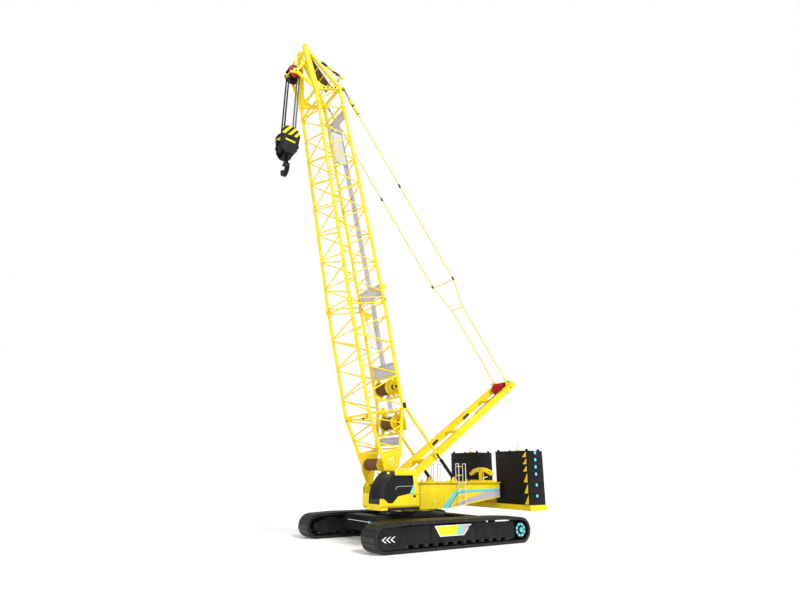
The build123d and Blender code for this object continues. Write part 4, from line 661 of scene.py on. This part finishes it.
# Covers and seams on a track frame's side: low X, high X, low Z, high Z, how far it stands out, edge
FRAME_COVERS = [(1.86, 3.46, 0.50, 1.02, 0.012, 0.010), (-1.02, -0.60, 0.50, 1.00, 0.012, 0.010),
                (-2.10, -1.16, 0.46, 0.98, 0.012, 0.010), (3.10, 3.42, 0.47, 0.66, 0.022, 0.008),
                (-1.122, -1.078, 0.42, 1.10, 0.018, 0.006), (1.698, 1.742, 0.42, 1.10, 0.018, 0.006),
                (3.528, 3.572, 0.42, 1.10, 0.018, 0.006)]


def frame_covers():
    """Covers, seams, roller caps, bolts and brackets on a track frame's outer side."""
    y = SIDE_Y
    parts = [brick((low_x, y - 0.002, low_z), (high_x, y + out, high_z), frame_black, edge)
             for low_x, high_x, low_z, high_z, out, edge in FRAME_COVERS]
    rollers = [blend(-ROLLER_REACH, ROLLER_REACH, i / (ROLLER_COUNT - 1)) for i in range(ROLLER_COUNT)]
    cap = pin((0, 0, ROLLER_Z), y - 0.002, y + 0.046, 0.085, dark_steel, 20, 0.008)
    parts += shifted(cap, [(x, 0, 0) for x in rollers])
    parts += bolts([(x + step, y, ROLLER_Z) for x in rollers for step in (-0.105, 0.105)], ACROSS, 0.018)
    parts += bolts([(x, y + 0.010, z) for x in (1.92, 2.66, 3.40) for z in (0.56, 0.96)], ACROSS, 0.016)
    for x in (-3.62, -3.35, -3.08):
        parts.append(brick((x - 0.05, y - 0.10, 0.62), (x + 0.05, y - 0.03, 0.86), frame_black, 0.01))
    return parts


# Layers of a frame's coloured plate: coat, how far out, X of its upper right, upper left, lower left and
# lower right corners, Z of its upper and lower edges
FRAME_PLATES = [(white_paint, 0.0, (1.542, -0.801, -0.306, 1.222), 1.084, 0.593),
                (yellow_paint, 0.004, (1.46, -0.05, 0.269, 1.205), 1.060, MARK_Z),
                (cyan_paint, 0.004, (-0.05, -0.250, 0.069, 0.269), 1.060, MARK_Z),
                (lilac_paint, 0.004, (-0.250, -0.735, -0.285, 0.069), 1.060, MARK_Z)]


def frame_plates():
    """Coloured plate and arrow marks on a track frame's outer side."""
    push = (0, 0.006, 0)
    parts = []
    for coat, out, corner_xs, high, low in FRAME_PLATES:
        corners = [(x, SIDE_Y + out, z) for x, z in zip(corner_xs, (high, high, low, low))]
        parts.append(plate(corners, push, coat))
    for tip in (4.561, 4.326, 4.089):
        for rise in (-0.125, 0.125):
            steps = ((0.0, 0.0), (0.20, rise), (0.265, rise), (0.075, 0.0))
            corners = [(tip - back, SIDE_Y, MARK_Z + up) for back, up in steps]
            parts.append(plate(corners, push, white_paint, 0.0))
    return parts


def hub_ring():
    """Ring of coloured segments and a bolted centre on the drive wheel's hub."""
    centre = Vector((-WHEEL_X, HUB_Y, WHEEL_Z))
    parts = []
    for i in range(8):
        a, b = 2 * pi * i / 8 + 0.09, 2 * pi * (i + 1) / 8 - 0.09
        rim = ((0.235, a), (0.335, a), (0.352, (a + b) / 2), (0.335, b), (0.235, b))
        corners = [centre + Vector((r * cos(t), 0, r * sin(t))) for r, t in rim]
        parts.append(plate(corners, (0, 0.012, 0), cyan_paint))
    parts.append(pin(centre, HUB_Y + 0.058, HUB_Y + 0.070, 0.125, cyan_paint, 28, 0.003))
    parts += bolts(ring_of(12, centre - Vector((0, 0.001, 0)), 0.205), ACROSS, 0.016)
    parts += bolts(ring_of(6, centre + Vector((0, 0.068, 0)), 0.085), ACROSS, 0.012)
    return parts


# Upper frame
def deck_trim():
    """Gussets under the deck's edge, deck hatches, lifting lugs and bolt rows."""
    gusset = ((DECK_EDGE, 2.992), (DECK_EDGE + 0.107, 2.992), (DECK_EDGE, 2.80))
    parts = []
    for x in (1.15, 0.25, -0.85, -1.85, -3.0, -4.1, -5.15):
        for side in (-1, 1):
            parts.append(plate([(x - 0.01, side * y, z) for y, z in gusset], (0.02, 0, 0), yellow_paint, 0.0))
    for low_x, high_x in ((-4.95, -3.55), (-1.55, 0.05)):
        parts.append(brick((low_x, -0.62, DECK_TOP), (high_x, 0.62, DECK_TOP + 0.016), yellow_paint))
        rows = (low_x + 0.07, (low_x + high_x) / 2, high_x - 0.07)
        parts += bolts([(x, y, DECK_TOP + 0.012) for x in rows for y in (-0.55, 0.55)], UP, 0.018)
    lug = ((-0.09, 3.015), (0.09, 3.015), (0.05, 3.15), (-0.05, 3.15))
    for x in (-1.62, -5.2, 1.0):
        for y in (1.22, -1.22):
            corners = [(x + step, y - 0.018, z) for step, z in lug]
            parts.append(plate(corners, (0, 0.036, 0), yellow_paint, 0.004))
    for side in (-1, 1):
        parts += bolts([(x, side * 1.30, 1.90) for x in (-0.9, -0.45, 0.0, 0.62, 1.05)], (0, side, 0), 0.016)
    piece("deck_trim", "superstructure", parts)


def deck_fittings():
    """Bent pipe on the deck, steps by the ladder, and the yoke's bolts and feet."""
    run = [(-4.55, 3.02), (-4.55, 3.20), (-4.65, 3.30), (-4.89, 3.30)]
    pipe = pipe_run([(x, 1.02, z) for x, z in run], 0.022, rail_white)
    piece("deck_pipe", "superstructure", [pipe])
    steps = [brick((-2.47, 1.36, z - 0.035), (-2.10, 1.48, z + 0.005), yellow_paint) for z in (3.41, 3.89)]
    piece("ladder_steps", "superstructure", steps)
    yoke_x = -5.35
    crest = [(yoke_x + 0.11, y, 3.60 + 0.10 * (1 - abs(y) / 0.9)) for y in (-0.86, 0.0, 0.86)]
    yoke = bolts(crest, AHEAD, 0.03)
    for y in (-0.72, 0.72):
        yoke.append(brick((yoke_x - 0.10, y - 0.05, 3.11), (yoke_x + 0.10, y + 0.05, 3.20), dark_steel, 0.01))
    piece("yoke_fittings", "superstructure", yoke)


# Slabs from the lowest up: height, and X of the disc on the outer end
SLABS = [(0.6, -6.416), (0.6, -6.43), (0.6, -6.437), (0.402, -6.45), (0.402, -6.46), (0.402, -6.47)]
SLAB_FOOT, SLAB_GAP, GROOVE = 1.8003, 0.0003, 0.016
SLAB_INNER, SLAB_OUTER, EYE_X = 0.835, 3.48, -6.46


def slab_faces():
    """Cast faces of the slabs with a groove at each joint, posts and a lifting eye on top, coloured marks."""
    for side_name, side in SIDES:
        inner, outer = side * SLAB_INNER, side * SLAB_OUTER
        middle = (inner + outer) / 2
        near, away = sorted((inner + side * 0.06, outer - side * 0.06))
        parts, marks = [], []
        low = SLAB_FOOT
        for height, disc_x in SLABS:
            z0, z1 = low + GROOVE, low + height - GROOVE
            for x0, x1 in ((-5.80, -5.778), (-7.152, -7.130)):
                parts.append(brick((x0, near, z0), (x1, away, z1), slab_black, 0.008))
            for y in (inner, outer):
                parts.append(brick((-7.08, y - 0.010, z0), (-5.85, y + 0.010, z1), slab_black, 0.008))
            disc = (disc_x, outer, z1 - 0.09)
            marks.append(pin(disc, outer + side * 0.006, outer + side * 0.020, 0.09, cyan_paint, 24, 0.003))
            if side > 0:
                foot, tip = z0 + 0.02, z0 + 0.02 + (z1 - z0 - 0.03) * 0.94
                corners = [(-5.780, y, z) for y, z in ((3.11, foot), (3.40, foot), (3.415, tip))]
                marks.append(plate(corners, (0.008, 0, 0), yellow_paint, 0.0))
            low += height + SLAB_GAP
        for x in (-5.95, -6.95):
            for y in sorted((inner + side * 0.16, outer - side * 0.16)):
                parts.append(rod((x, y, low - 0.01), (x, y, low + 0.10), 0.085, slab_black, 18, 0.03))
        eye_low = (EYE_X - 0.16, middle - 0.05, low - 0.01)
        eye_high = (EYE_X + 0.16, middle + 0.05, low + 0.11)
        parts.append(brick(eye_low, eye_high, yellow_paint, 0.02))
        parts.append(rod((EYE_X, middle, low + 0.09), (EYE_X, middle, 5.34), 0.012, rail_white, 8))
        parts.append(pin((EYE_X, middle, 5.10), middle - 0.12, middle + 0.12, 0.010, rail_white, 8))
        piece(f"slab_faces_{side_name}", "superstructure", parts)
        piece(f"slab_marks_{side_name}", "superstructure", marks)


def engine_doors():
    """Doors with louvres, handles and hinges on the engine housing, and its grille and exhaust."""
    parts = []
    y = HOUSING_SIDE
    for x in (-1.80, -0.80, 0.20):
        parts.append(brick((x, y - 0.002, 1.83), (x + 0.92, y + 0.015, 2.82), yellow_paint, 0.008))
        slat = brick((x + 0.10, y - 0.012, 2.10), (x + 0.82, y + 0.006, 2.122), yellow_paint, 0.004, 1)
        parts += shifted(slat, [(0, 0, 0.045 * i) for i in range(13)])
        parts.append(brick((x + 0.78, y - 0.028, 1.92), (x + 0.84, y + 0.002, 2.02), dark_plastic))
        hinge_x, hinge_y = x + 0.01, y - 0.006
        for z in (1.90, 2.70):
            parts.append(rod((hinge_x, hinge_y, z), (hinge_x, hinge_y, z + 0.08), 0.014, dark_steel, 10))
    parts.append(brick((-1.70, -2.55, HOUSING_TOP + 0.003), (-0.40, -1.50, 2.925), dark_steel, 0.008))
    rib = brick((-1.66, -2.51, 2.92), (-1.64, -1.54, 2.94), dark_steel, 0.004, 1)
    parts += shifted(rib, [(0.05 * i, 0, 0) for i in range(25)])
    foot = (EXHAUST_X, EXHAUST_Y, HOUSING_TOP)
    for top, radius in ((3.28, 0.075), (2.93, 0.14)):
        parts.append(rod(foot, (EXHAUST_X, EXHAUST_Y, top), radius, dark_steel, 20))
    bend = ((0.0, 3.20), (0.0, 3.36), (0.05, 3.46), (0.17, 3.50))
    parts.append(pipe_run([(EXHAUST_X - back, EXHAUST_Y, z) for back, z in bend], 0.06, dark_steel, 4))
    piece("engine_doors", "superstructure", parts)


# Cab
def cab_fittings():
    """Sill, roof plate, lamps on their arms, seams and roof rail of the cab."""
    parts = [brick((1.47, 2.733, 1.745), (3.40, DOOR_Y, 1.885), rubber, 0.008),
             brick((1.60, 1.62, 3.635), (2.98, 2.72, 3.648), yellow_paint, 0.005)]
    for y in (1.72, 2.70):
        parts.append(rod((3.33, y, 3.47), (3.43, y, 3.50), 0.062, yellow_paint, 20, 0.012))
        parts.append(rod((3.425, y, 3.498), (3.445, y, 3.505), 0.050, lamp_lens, 20, 0.004))
        parts.append(rod((3.22, y, 3.36), (3.36, y, 3.47), 0.020, dark_steel, 10))
    parts.append(brick((1.444, 2.735, 1.90), (1.462, 2.756, 2.95), rubber, 0.003))
    parts.append(bar((1.65, DOOR_Y, 2.475), (1.46, DOOR_Y, 2.465), 0.008, 0.014, rubber, 0.002))
    rail = [(1.70, 3.63), (1.72, 3.69), (1.9, 3.70), (2.75, 3.70), (2.93, 3.69), (2.95, 3.63)]
    parts.append(pipe_run([(x, 2.70, z) for x, z in rail], 0.014, rail_white))
    piece("cab_fittings", "superstructure", parts)


def door_trim():
    """Gaskets round the door's window, its grab rail and its handle."""
    y = DOOR_Y
    rims = [(1.93, 3.37), (1.885, 2.95), (2.12, 2.53), (2.83, 2.405), (3.14, 2.10), (3.40, 2.10)]
    edges = list(zip(rims, rims[1:])) + [((1.93, 3.37), (3.03, 3.37))]
    parts = [bar((x0, y, z0), (x1, y, z1), 0.012, 0.034, rubber, 0.003) for (x0, z0), (x1, z1) in edges]
    rail = [(2.96, 0.0, 2.70), (2.96, 0.04, 2.82), (2.86, 0.04, 2.86), (2.3, 0.04, 2.865), (1.90, 0.04, 2.87),
            (1.86, 0.0, 2.87)]
    parts.append(pipe_run([(x, y + out, z) for x, out, z in rail], 0.012, grey_paint))
    parts.append(bar((2.10, y, 2.50), (1.66, y, 2.475), 0.008, 0.014, rubber, 0.002))
    parts.append(brick((1.72, y, 2.36), (1.90, y + 0.028, 2.41), rubber, 0.008))
    parts.append(brick((1.74, y - 0.004, 2.33), (1.88, y + 0.006, 2.44), dark_plastic, 0.003))
    piece("door_trim", "door", parts)


def wiper():
    """Wiper arm on the windscreen."""
    arm = bar((3.862, 2.18, 2.30), (3.832, 1.98, 2.86), 0.014, 0.014, rubber, 0.003)
    piece("wiper", "superstructure", [arm])


# Boom
def boom_walkways():
    """Grating bars on the catwalk, and wide platforms and foot plates between the back chords."""
    parts = []
    for low, high in ((6.15, 10.05), (10.25, 22.6)):
        count = int((high - low) / 0.14)
        tread = rod((0, -0.215, 0), (0, 0.215, 0), 0.010, grey_paint, 6)
        levels = [low + (high - low) * i / (count - 1) for i in range(count)]
        parts += shifted(tread, [boom_at(back_at(s) - 0.086, 0.0, s) for s in levels])
    for low, high in ((1.95, 2.38), (5.70, 6.50), (10.45, 11.15), (22.0, 22.55)):
        n, half = chord_at((low + high) / 2, 0, 1)
        half -= 0.14
        parts.append(boom_brick((n - 0.075, n - 0.045), (-half, half), (low, high), grey_paint))
        for s in (low + 0.05, high - 0.05):
            parts.append(boom_brick((n - 0.045, n + 0.01), (-half, half), (s - 0.02, s + 0.02), grey_paint))
    for s in (3.0, 4.35):
        n = back_at(s)
        parts.append(boom_brick((n - 0.06, n - 0.03), (-0.20, 0.20), (s - 0.55, s + 0.55), grey_paint))
    piece("boom_platforms", "boom", parts)


# Boards between the back chords: corners in Y and s, coat, coat of the rim, share inside the rim
BOARDS = [([(-0.80, 22.15), (0.40, 21.21), (0.35, 18.95), (-0.85, 19.89)], white_paint, blue_edge, 0.93),
          ([(-0.86, 9.25), (-0.14, 9.12), (-0.14, 7.45), (-0.90, 7.72)], white_paint, grey_paint, 0.95),
          ([(-0.98, 9.98), (-0.02, 9.56), (-0.92, 9.26)], yellow_paint, yellow_paint, 0.9)]


def boom_boards():
    """Blank boards on the inner side of the boom's back, with a rim and a face on both sides."""
    back = boom_at(0, 0, 0) - boom_at(1, 0, 0)
    thick = 0.022
    parts = []
    for corners, coat, rim_coat, share in BOARDS:
        points = [boom_at(back_at(s) + 0.072, y, s) for y, s in corners]
        inner = shrunk(points, share)
        parts += [plate(points, back * thick, rim_coat),
                  plate([p - back * 0.006 for p in inner], back * 0.008, coat, 0.0),
                  plate([p + back * thick for p in inner], back * 0.006, coat, 0.0)]
    piece("boom_boards", "boom", parts)


def boom_joints():
    """Ears and pins at the boom's two joints, where its sections come apart."""
    parts = []
    for s in (10.15, 22.7):
        for front in (0, 1):
            for side in (-1, 1):
                n, y = chord_at(s, front, side)
                for low in (y - 0.075, y + 0.035):
                    parts.append(boom_brick((n - 0.135, n + 0.135), (low, low + 0.04), (s - 0.16, s + 0.16),
                                            yellow_high, 0.02))
                parts.append(pin(boom_at(n, 0, s), y - 0.15, y + 0.15, 0.05, bright_steel, 16))
    n, y = chord_at(4.0, 0, 1)
    parts.append(boom_brick((n - 0.16, n + 0.04), (y + 0.02, y + 0.13), (3.86, 4.16), rubber, 0.02))
    parts.append(boom_brick((-1.75, -1.53), (1.36, 1.42), (10.75, 11.05), yellow_high, 0.02))
    piece("boom_joint_pins", "boom", parts)


def rope_roller():
    """Roller between two cheeks in front of the boom's foot section."""
    place = boom_at(1.05, 0, 3.72)
    parts = [pin(place, -0.70, 1.12, 0.050, yellow_high, 18, 0.008)]
    for y in (-0.68, 1.10):
        parts.append(boom_brick((0.74, 1.10), (y - 0.02, y + 0.02), (3.66, 3.90), yellow_high, 0.01))
        parts.append(pin(place, y - 0.05, y + 0.05, 0.060, dark_steel, 12))
    piece("front_rope_roller", "boom", parts)


def foot_plate_trim():
    """White-edged triangles on the outer sides of the boom's foot."""
    parts = []
    for side in (-1, 1):
        push = Vector((0, side * 0.006, 0))
        corners = [boom_at(n, side * 1.235, s) for n, s in ((-0.38, 1.42), (-0.02, 1.42), (-0.20, 0.98))]
        parts.append(plate(corners, push, rail_white, 0.0))
        inner = [point + Vector((0, side * 0.004, 0)) for point in shrunk(corners, 0.72)]
        parts.append(plate(inner, push, yellow_high, 0.0))
    piece("foot_plate_trim", "boom", parts)


# Winches: name, n, s, half the length and radius of the bare drum
WINCHES = [("foot", 0.12, 1.15, 0.74, 0.27), ("lower", -1.40, 3.14, 0.56, 0.33),
           ("upper", -1.45, 5.12, 0.56, 0.33)]


def winch_dressing():
    """Rope wraps of the three winches, and end covers and motors of the upper two."""
    for name, n, s, half, radius in WINCHES:
        count = int(2 * half / 0.044)
        ring = rope_ring(radius + 0.020, 0.021, rope_steel)
        wraps = [boom_at(n, blend(-half, half, i / (count - 1)), s) for i in range(count)]
        piece(f"{name}_winch_rope", f"{name}_drum", shifted(ring, wraps))
    caps, motors = [], []
    for _, n, s, _, _ in WINCHES[1:]:
        centre = boom_at(n, 0.0, s)
        for side in (-1, 1):
            caps.append(pin(centre, side * 0.69, side * 0.745, 0.185, yellow_high, 28, 0.012))
            caps.append(pin(centre, side * 0.74, side * 0.765, 0.105, dark_steel, 20, 0.008))
            caps += bolts(ring_of(8, boom_at(n, side * 0.74, s), 0.15), (0, side, 0), 0.014)
        motors.append(pin(centre, 0.76, 1.02, 0.155, brown_steel, 24, 0.012))
        motors.append(pin(centre, 1.01, 1.04, 0.185, yellow_high, 24, 0.006))
        motors.append(pin(centre, 1.035, 1.07, 0.08, dark_steel, 16, 0.006))
        motors += bolts(ring_of(6, boom_at(n, 1.038, s), 0.14), ACROSS, 0.014)
        motors.append(boom_brick((n - 0.17, n - 0.15), (0.71, 1.20), (s - 0.48, s + 0.52), yellow_high))
    piece("winch_end_covers", "boom", caps)
    piece("winch_motors", "boom", motors)


# Head
def sheave_guard(name, body, centre, radius, half, shield_y, start, sweep, coat):
    """A bent guard over a set of sheaves, with a round shield on each side; the angles are in degrees."""
    parts = [curved_guard(centre, radius, half, radians(start), radians(sweep), coat)]
    for y in (-shield_y, shield_y):
        parts.append(pin(centre, y - 0.007, y + 0.007, radius + 0.002, coat, 40, 0.003))
    piece(name, body, parts)


def head_rollers():
    """Two rope rollers on their arms, and a lug in front of the sheaves."""
    parts = []
    for n, s in ((1.30, 25.72), (0.86, 25.86)):
        parts.append(pin(boom_at(n, 0, s), -0.40, 0.40, 0.045, yellow_high))
        for y in (-0.40, 0.40):
            parts.append(boom_brick((n - 0.06, n + 0.06), (y - 0.03, y + 0.03), (s - 0.28, s + 0.08),
                                    yellow_high, 0.01))
    parts.append(boom_brick((1.72, 1.93), (-0.06, 0.06), (24.90, 25.0), yellow_high, 0.02))
    parts.append(boom_brick((1.50, 1.74), (-0.40, 0.40), (24.90, 25.02), yellow_high, 0.02))
    piece("head_rope_rollers", "boom", parts)


def head_walkway():
    """Plank on four cross bars."""
    low_n, low_s, high_n, high_s = -1.02, 24.55, 0.22, 26.55
    parts = [bar(boom_at(low_n, 0.0, low_s), boom_at(high_n, 0.0, high_s), 0.72, 0.035, brown_steel, 0.008)]
    for share in (0.1, 0.35, 0.6, 0.85):
        wide = 0.96 - 0.45 * share
        place = boom_at(blend(low_n, high_n, share), 0.0, blend(low_s, high_s, share) - 0.03)
        parts.append(pin(place, -wide, wide, 0.035, yellow_high, 10))
    piece("head_walkway", "boom", parts)


def head_rail():
    """Striped rail on four posts, and a red lamp behind it."""
    posts, tops = [], []
    for share in (0.04, 0.35, 0.66, 0.97):
        y = 0.50 + 0.22 * share
        foot = boom_at(-0.22 - 1.02 * share, y, 25.95 - 1.20 * share)
        tops.append(boom_at(-0.46 - 1.39 * share, y, 26.15 - 1.16 * share))
        posts.append(rod(foot, tops[-1], 0.028, yellow_high, 10))
    rail = rod(tops[0], tops[-1], 0.075, hazard_paint, 16, 0.01)
    piece("head_rail_posts", "boom", posts)
    piece("head_striped_rail", "boom", [rail])
    foot, neck, top = (boom_at(n, 0.62, s) for n, s in ((-1.42, 24.85), (-1.50, 24.96), (-1.58, 25.06)))
    lamp = [rod(foot, neck, 0.05, dark_steel), rod(neck, top, 0.055, red_lens, 16, 0.02)]
    piece("head_lamp", "boom", lamp)


def head_beam_hole_shade():
    """Dark discs on the side beams of the head: painted shade standing in for holes."""
    front_s, back_s = 23.6, 24.0
    (front_n, front_y), (back_n, back_y) = chord_at(front_s, 1, 1), chord_at(back_s, 0, 1)
    parts = []
    for side in (-1, 1):
        for share in (0.30, 0.46, 0.62, 0.78):
            y = side * (blend(front_y, back_y, share) + 0.092)
            place = boom_at(blend(front_n, back_n, share), y, blend(front_s, back_s, share))
            # Each disc stands just proud of the beam, dark as painted shade where a hole would be.
            parts.append(pin(place, y - side * 0.01, y + side * 0.006, 0.062, dark_plastic, 16, 0.002))
    piece("head_beam_hole_shade", "boom", parts)


# Hook block
def block_trim():
    """Pin caps, bolts, corner blocks and the blank plate on the hook block's cheeks."""
    bolt_places = ((-0.42, -0.05), (0.42, -0.05), (-0.34, -0.82), (0.34, -0.82), (0.0, -0.95))
    parts = []
    for side in (-1, 1):
        y = side * CHEEK_Y
        parts += bolts([BLOCK + Vector((x, y, z)) for x, z in bolt_places], (0, side, 0), 0.028)
        parts.append(pin(BLOCK, y, y + side * 0.035, 0.11, black_paint, 24, 0.01))
        ends = [BLOCK + Vector((x, y + side * 0.004, z)) for x, z in ((-0.30, -0.30), (0.30, -0.24))]
        parts.append(bar(*ends, 0.010, 0.11, yellow_high, 0.003))
        near, away = sorted((y, y - side * 0.10))
        for x0, x1 in ((-0.55, -0.38), (0.38, 0.55)):
            parts.append(brick((BLOCK.x + x0, near, BLOCK.z - 0.62), (BLOCK.x + x1, away, BLOCK.z - 0.40),
                               black_paint, 0.02))
    piece("block_fittings", "block", parts)


# Mast, pendants and backstops
def mast_trim():
    """Small cylinder, lugs, hose and end pins of the mast."""
    parts = [rod(mast_at(-0.12, 0.545, 8.05), mast_at(-0.20, 0.545, 9.15), 0.052, grey_paint, 18, 0.01),
             rod(mast_at(-0.20, 0.545, 9.13), mast_at(-0.23, 0.545, 9.45), 0.028, bright_steel)]
    for n, along in ((-0.12, 8.08), (-0.23, 9.44)):
        parts.append(pin(mast_at(n, 0, along), 0.50, 0.66, 0.045, yellow_high))
    for n, along in ((-0.26, 6.52), (-0.09, 3.41)):
        ends = mast_at(n, -0.60, along - 0.26), mast_at(n, -0.60, along + 0.26)
        parts.append(bar(*ends, 0.10, 0.13, rubber, 0.02))
    hose = [mast_at(n, 0.79, along) for n, along in ((0.06, 6.2), (0.05, 7.2), (0.0, 8.2), (-0.08, 9.2))]
    parts.append(pipe_run(hose, 0.018, rubber))
    for side in (-1, 1):
        parts.append(pin(mast_at(0, 0, MAST_RUN), side * 0.93, side * 0.60, 0.044, bright_steel, 16))
        parts.append(pin(mast_at(0, 0, 0.02), side * 0.60, side * 0.63, 0.13, yellow_high, 20))
    piece("mast_fittings", "mast", parts)


def pendant_trim():
    """Link plates and couplings on the pendant bars."""
    parts = []
    for y in (-PENDANT_Y, PENDANT_Y):
        for low, high in ((0.62, 1.25), (1.12, 1.85)):
            for step in (-0.052, 0.040):
                ends = pendant_at(y + step, low), pendant_at(y + step, high)
                parts.append(bar(*ends, 0.012, 0.17, yellow_high, 0.004))
        for along in (0.68, 1.18, 1.78):
            parts.append(pin(pendant_at(y, along), y - 0.09, y + 0.09, 0.042, brown_steel))
        for along in (7.0, 13.9):
            ends = pendant_at(y, along - 0.13), pendant_at(y, along + 0.13)
            parts.append(bar(*ends, 0.10, 0.10, brown_steel, 0.02))
    piece("pendant_links", "pendants", parts)


def stop_trim():
    """Bands and collars round the backstops."""
    along = (boom_at(-1.72, 0.0, 3.97) - STOP_FOOT).normalized()
    for name, body, reaches, width, radius, coat, slot in (
            ("backstop_bands", "backstop_lower", (0.26, 0.75, 1.28), 0.05, 0.105, dark_steel, "steel_dark"),
            ("backstop_collars", "backstop_upper", (1.85, 2.6), 0.06, 0.088, yellow_high, "paint_yellow")):
        parts = []
        for y in (-STOP_Y, STOP_Y):
            for reach in reaches:
                start = STOP_FOOT + along * reach + Vector((0, y, 0))
                parts.append(rod(start, start + along * width, radius, coat, 20, 0.006))
        piece(name, body, parts)


track_links()
beam_strip()
for side_name, side in SIDES:
    side_piece(f"frame_covers_{side_name}", "undercarriage", frame_covers(), side)
    side_piece(f"frame_plates_{side_name}", "undercarriage", frame_plates(), side)
for side_name, side in SIDES:
    side_piece(f"hub_ring_{side_name}", f"sprocket_{side_name}", hub_ring(), side)
deck_trim()
deck_fittings()
slab_faces()
engine_doors()
cab_fittings()
door_trim()
wiper()
boom_walkways()
boom_boards()
boom_joints()
rope_roller()
foot_plate_trim()
winch_dressing()
sheave_guard("head_sheave_guard", "boom", AXLE, 0.45, 0.345, 0.345, 14, 100, dark_red)
head_rollers()
head_walkway()
head_rail()
head_beam_hole_shade()
block_trim()
mast_sheaves_at = mast_at(-0.33, 0.0, MAST_RUN - 0.26)
sheave_guard("mast_sheave_guard", "mast", mast_sheaves_at, 0.40, 0.44, 0.430, -45, 172, red_paint)
mast_trim()
pendant_trim()
stop_trim()


# Floor, light and camera
def make_floor():
    """Wide pale floor that glows a little, so that it renders white and keeps the crane's shadow."""
    bpy.ops.mesh.primitive_plane_add(size=600.0, location=(0.0, 0.0, 0.0))
    floor = bpy.context.object
    floor.name = "floor"
    finish = Finish("pale_floor", 0.9)
    dial(finish.shader, {"Emission Color": (1.0, 1.0, 1.0, 1.0), "Emission Strength": 0.10})
    finish.colour(finish.over((0.93, 0.93, 0.93), (0.96, 0.96, 0.96), finish.blotches(3.0, 4.0, 0.4, 0.6)))
    floor.data.materials.append(finish.material)


def make_light():
    """Even sky with a white backdrop behind the crane, a soft main sun and a weaker one from the front."""
    world = bpy.data.worlds.new("studio")
    bpy.context.scene.world = world
    world.use_nodes = True
    tree = world.node_tree
    sky = tree.nodes["Background"]
    dial(sky, {"Color": (0.95, 0.97, 1.0, 1.0), "Strength": 0.52})
    paper = tree.nodes.new("ShaderNodeBackground")
    dial(paper, {"Color": (1.0, 1.0, 1.0, 1.0), "Strength": 1.0})
    rays = tree.nodes.new("ShaderNodeLightPath")
    seen = tree.nodes.new("ShaderNodeMath")
    seen.operation = "MAXIMUM"
    mix = tree.nodes.new("ShaderNodeMixShader")
    for source, target in ((rays.outputs["Is Camera Ray"], seen.inputs[0]),
                           (rays.outputs["Is Transmission Ray"], seen.inputs[1]),
                           (seen.outputs[0], mix.inputs[0]), (sky.outputs[0], mix.inputs[1]),
                           (paper.outputs[0], mix.inputs[2]),
                           (mix.outputs[0], tree.nodes["World Output"].inputs["Surface"])):
        tree.links.new(source, target)
    # Where each sun stands, its strength and its width in degrees
    for way, energy, width in (((-0.10, 0.80, 0.80), 2.6, 24.0), ((0.85, 0.30, 0.35), 0.95, 30.0)):
        bpy.ops.object.light_add(type="SUN", location=Vector(way) * 40.0)
        sun = bpy.context.object
        sun.data.energy, sun.data.angle, sun.data.color = energy, radians(width), (1.0, 0.98, 0.95)
        sun.rotation_euler = Vector(way).to_track_quat("Z", "Y").to_euler()


# The camera's place in metres, its aim and roll, and its focal length and picture width in pixels
CAMERA_PLACE = Vector((18.275, 25.555, 3.533))
CAMERA_TURN, CAMERA_PITCH, CAMERA_ROLL = radians(1.416), radians(18.324), radians(0.501)
FOCAL_LENGTH, PICTURE_WIDTH = 519.95, 800.0
SENSOR_WIDTH = 36.0


def make_camera():
    """Camera at the photograph's place: it stands by the cab side and looks up at the boom."""
    place, pitch, roll = CAMERA_PLACE, CAMERA_PITCH, CAMERA_ROLL
    turn = atan2(-place.y, -place.x) + CAMERA_TURN
    ahead = Vector((cos(turn) * cos(pitch), sin(turn) * cos(pitch), sin(pitch)))
    level = Vector((sin(turn), -cos(turn), 0.0))
    upward = level.cross(ahead)
    right = level * cos(roll) + upward * sin(roll)
    top = upward * cos(roll) - level * sin(roll)
    bpy.ops.object.camera_add()
    camera = bpy.context.object
    camera.matrix_world = Matrix.Translation(place) @ Matrix((right, top, -ahead)).transposed().to_4x4()
    camera.data.sensor_width = SENSOR_WIDTH
    camera.data.lens = FOCAL_LENGTH * SENSOR_WIDTH / PICTURE_WIDTH
    camera.data.clip_end = 1000.0
    bpy.context.scene.camera = camera


make_floor()
make_light()
make_camera()
bpy.context.scene.view_settings.view_transform = "Standard"
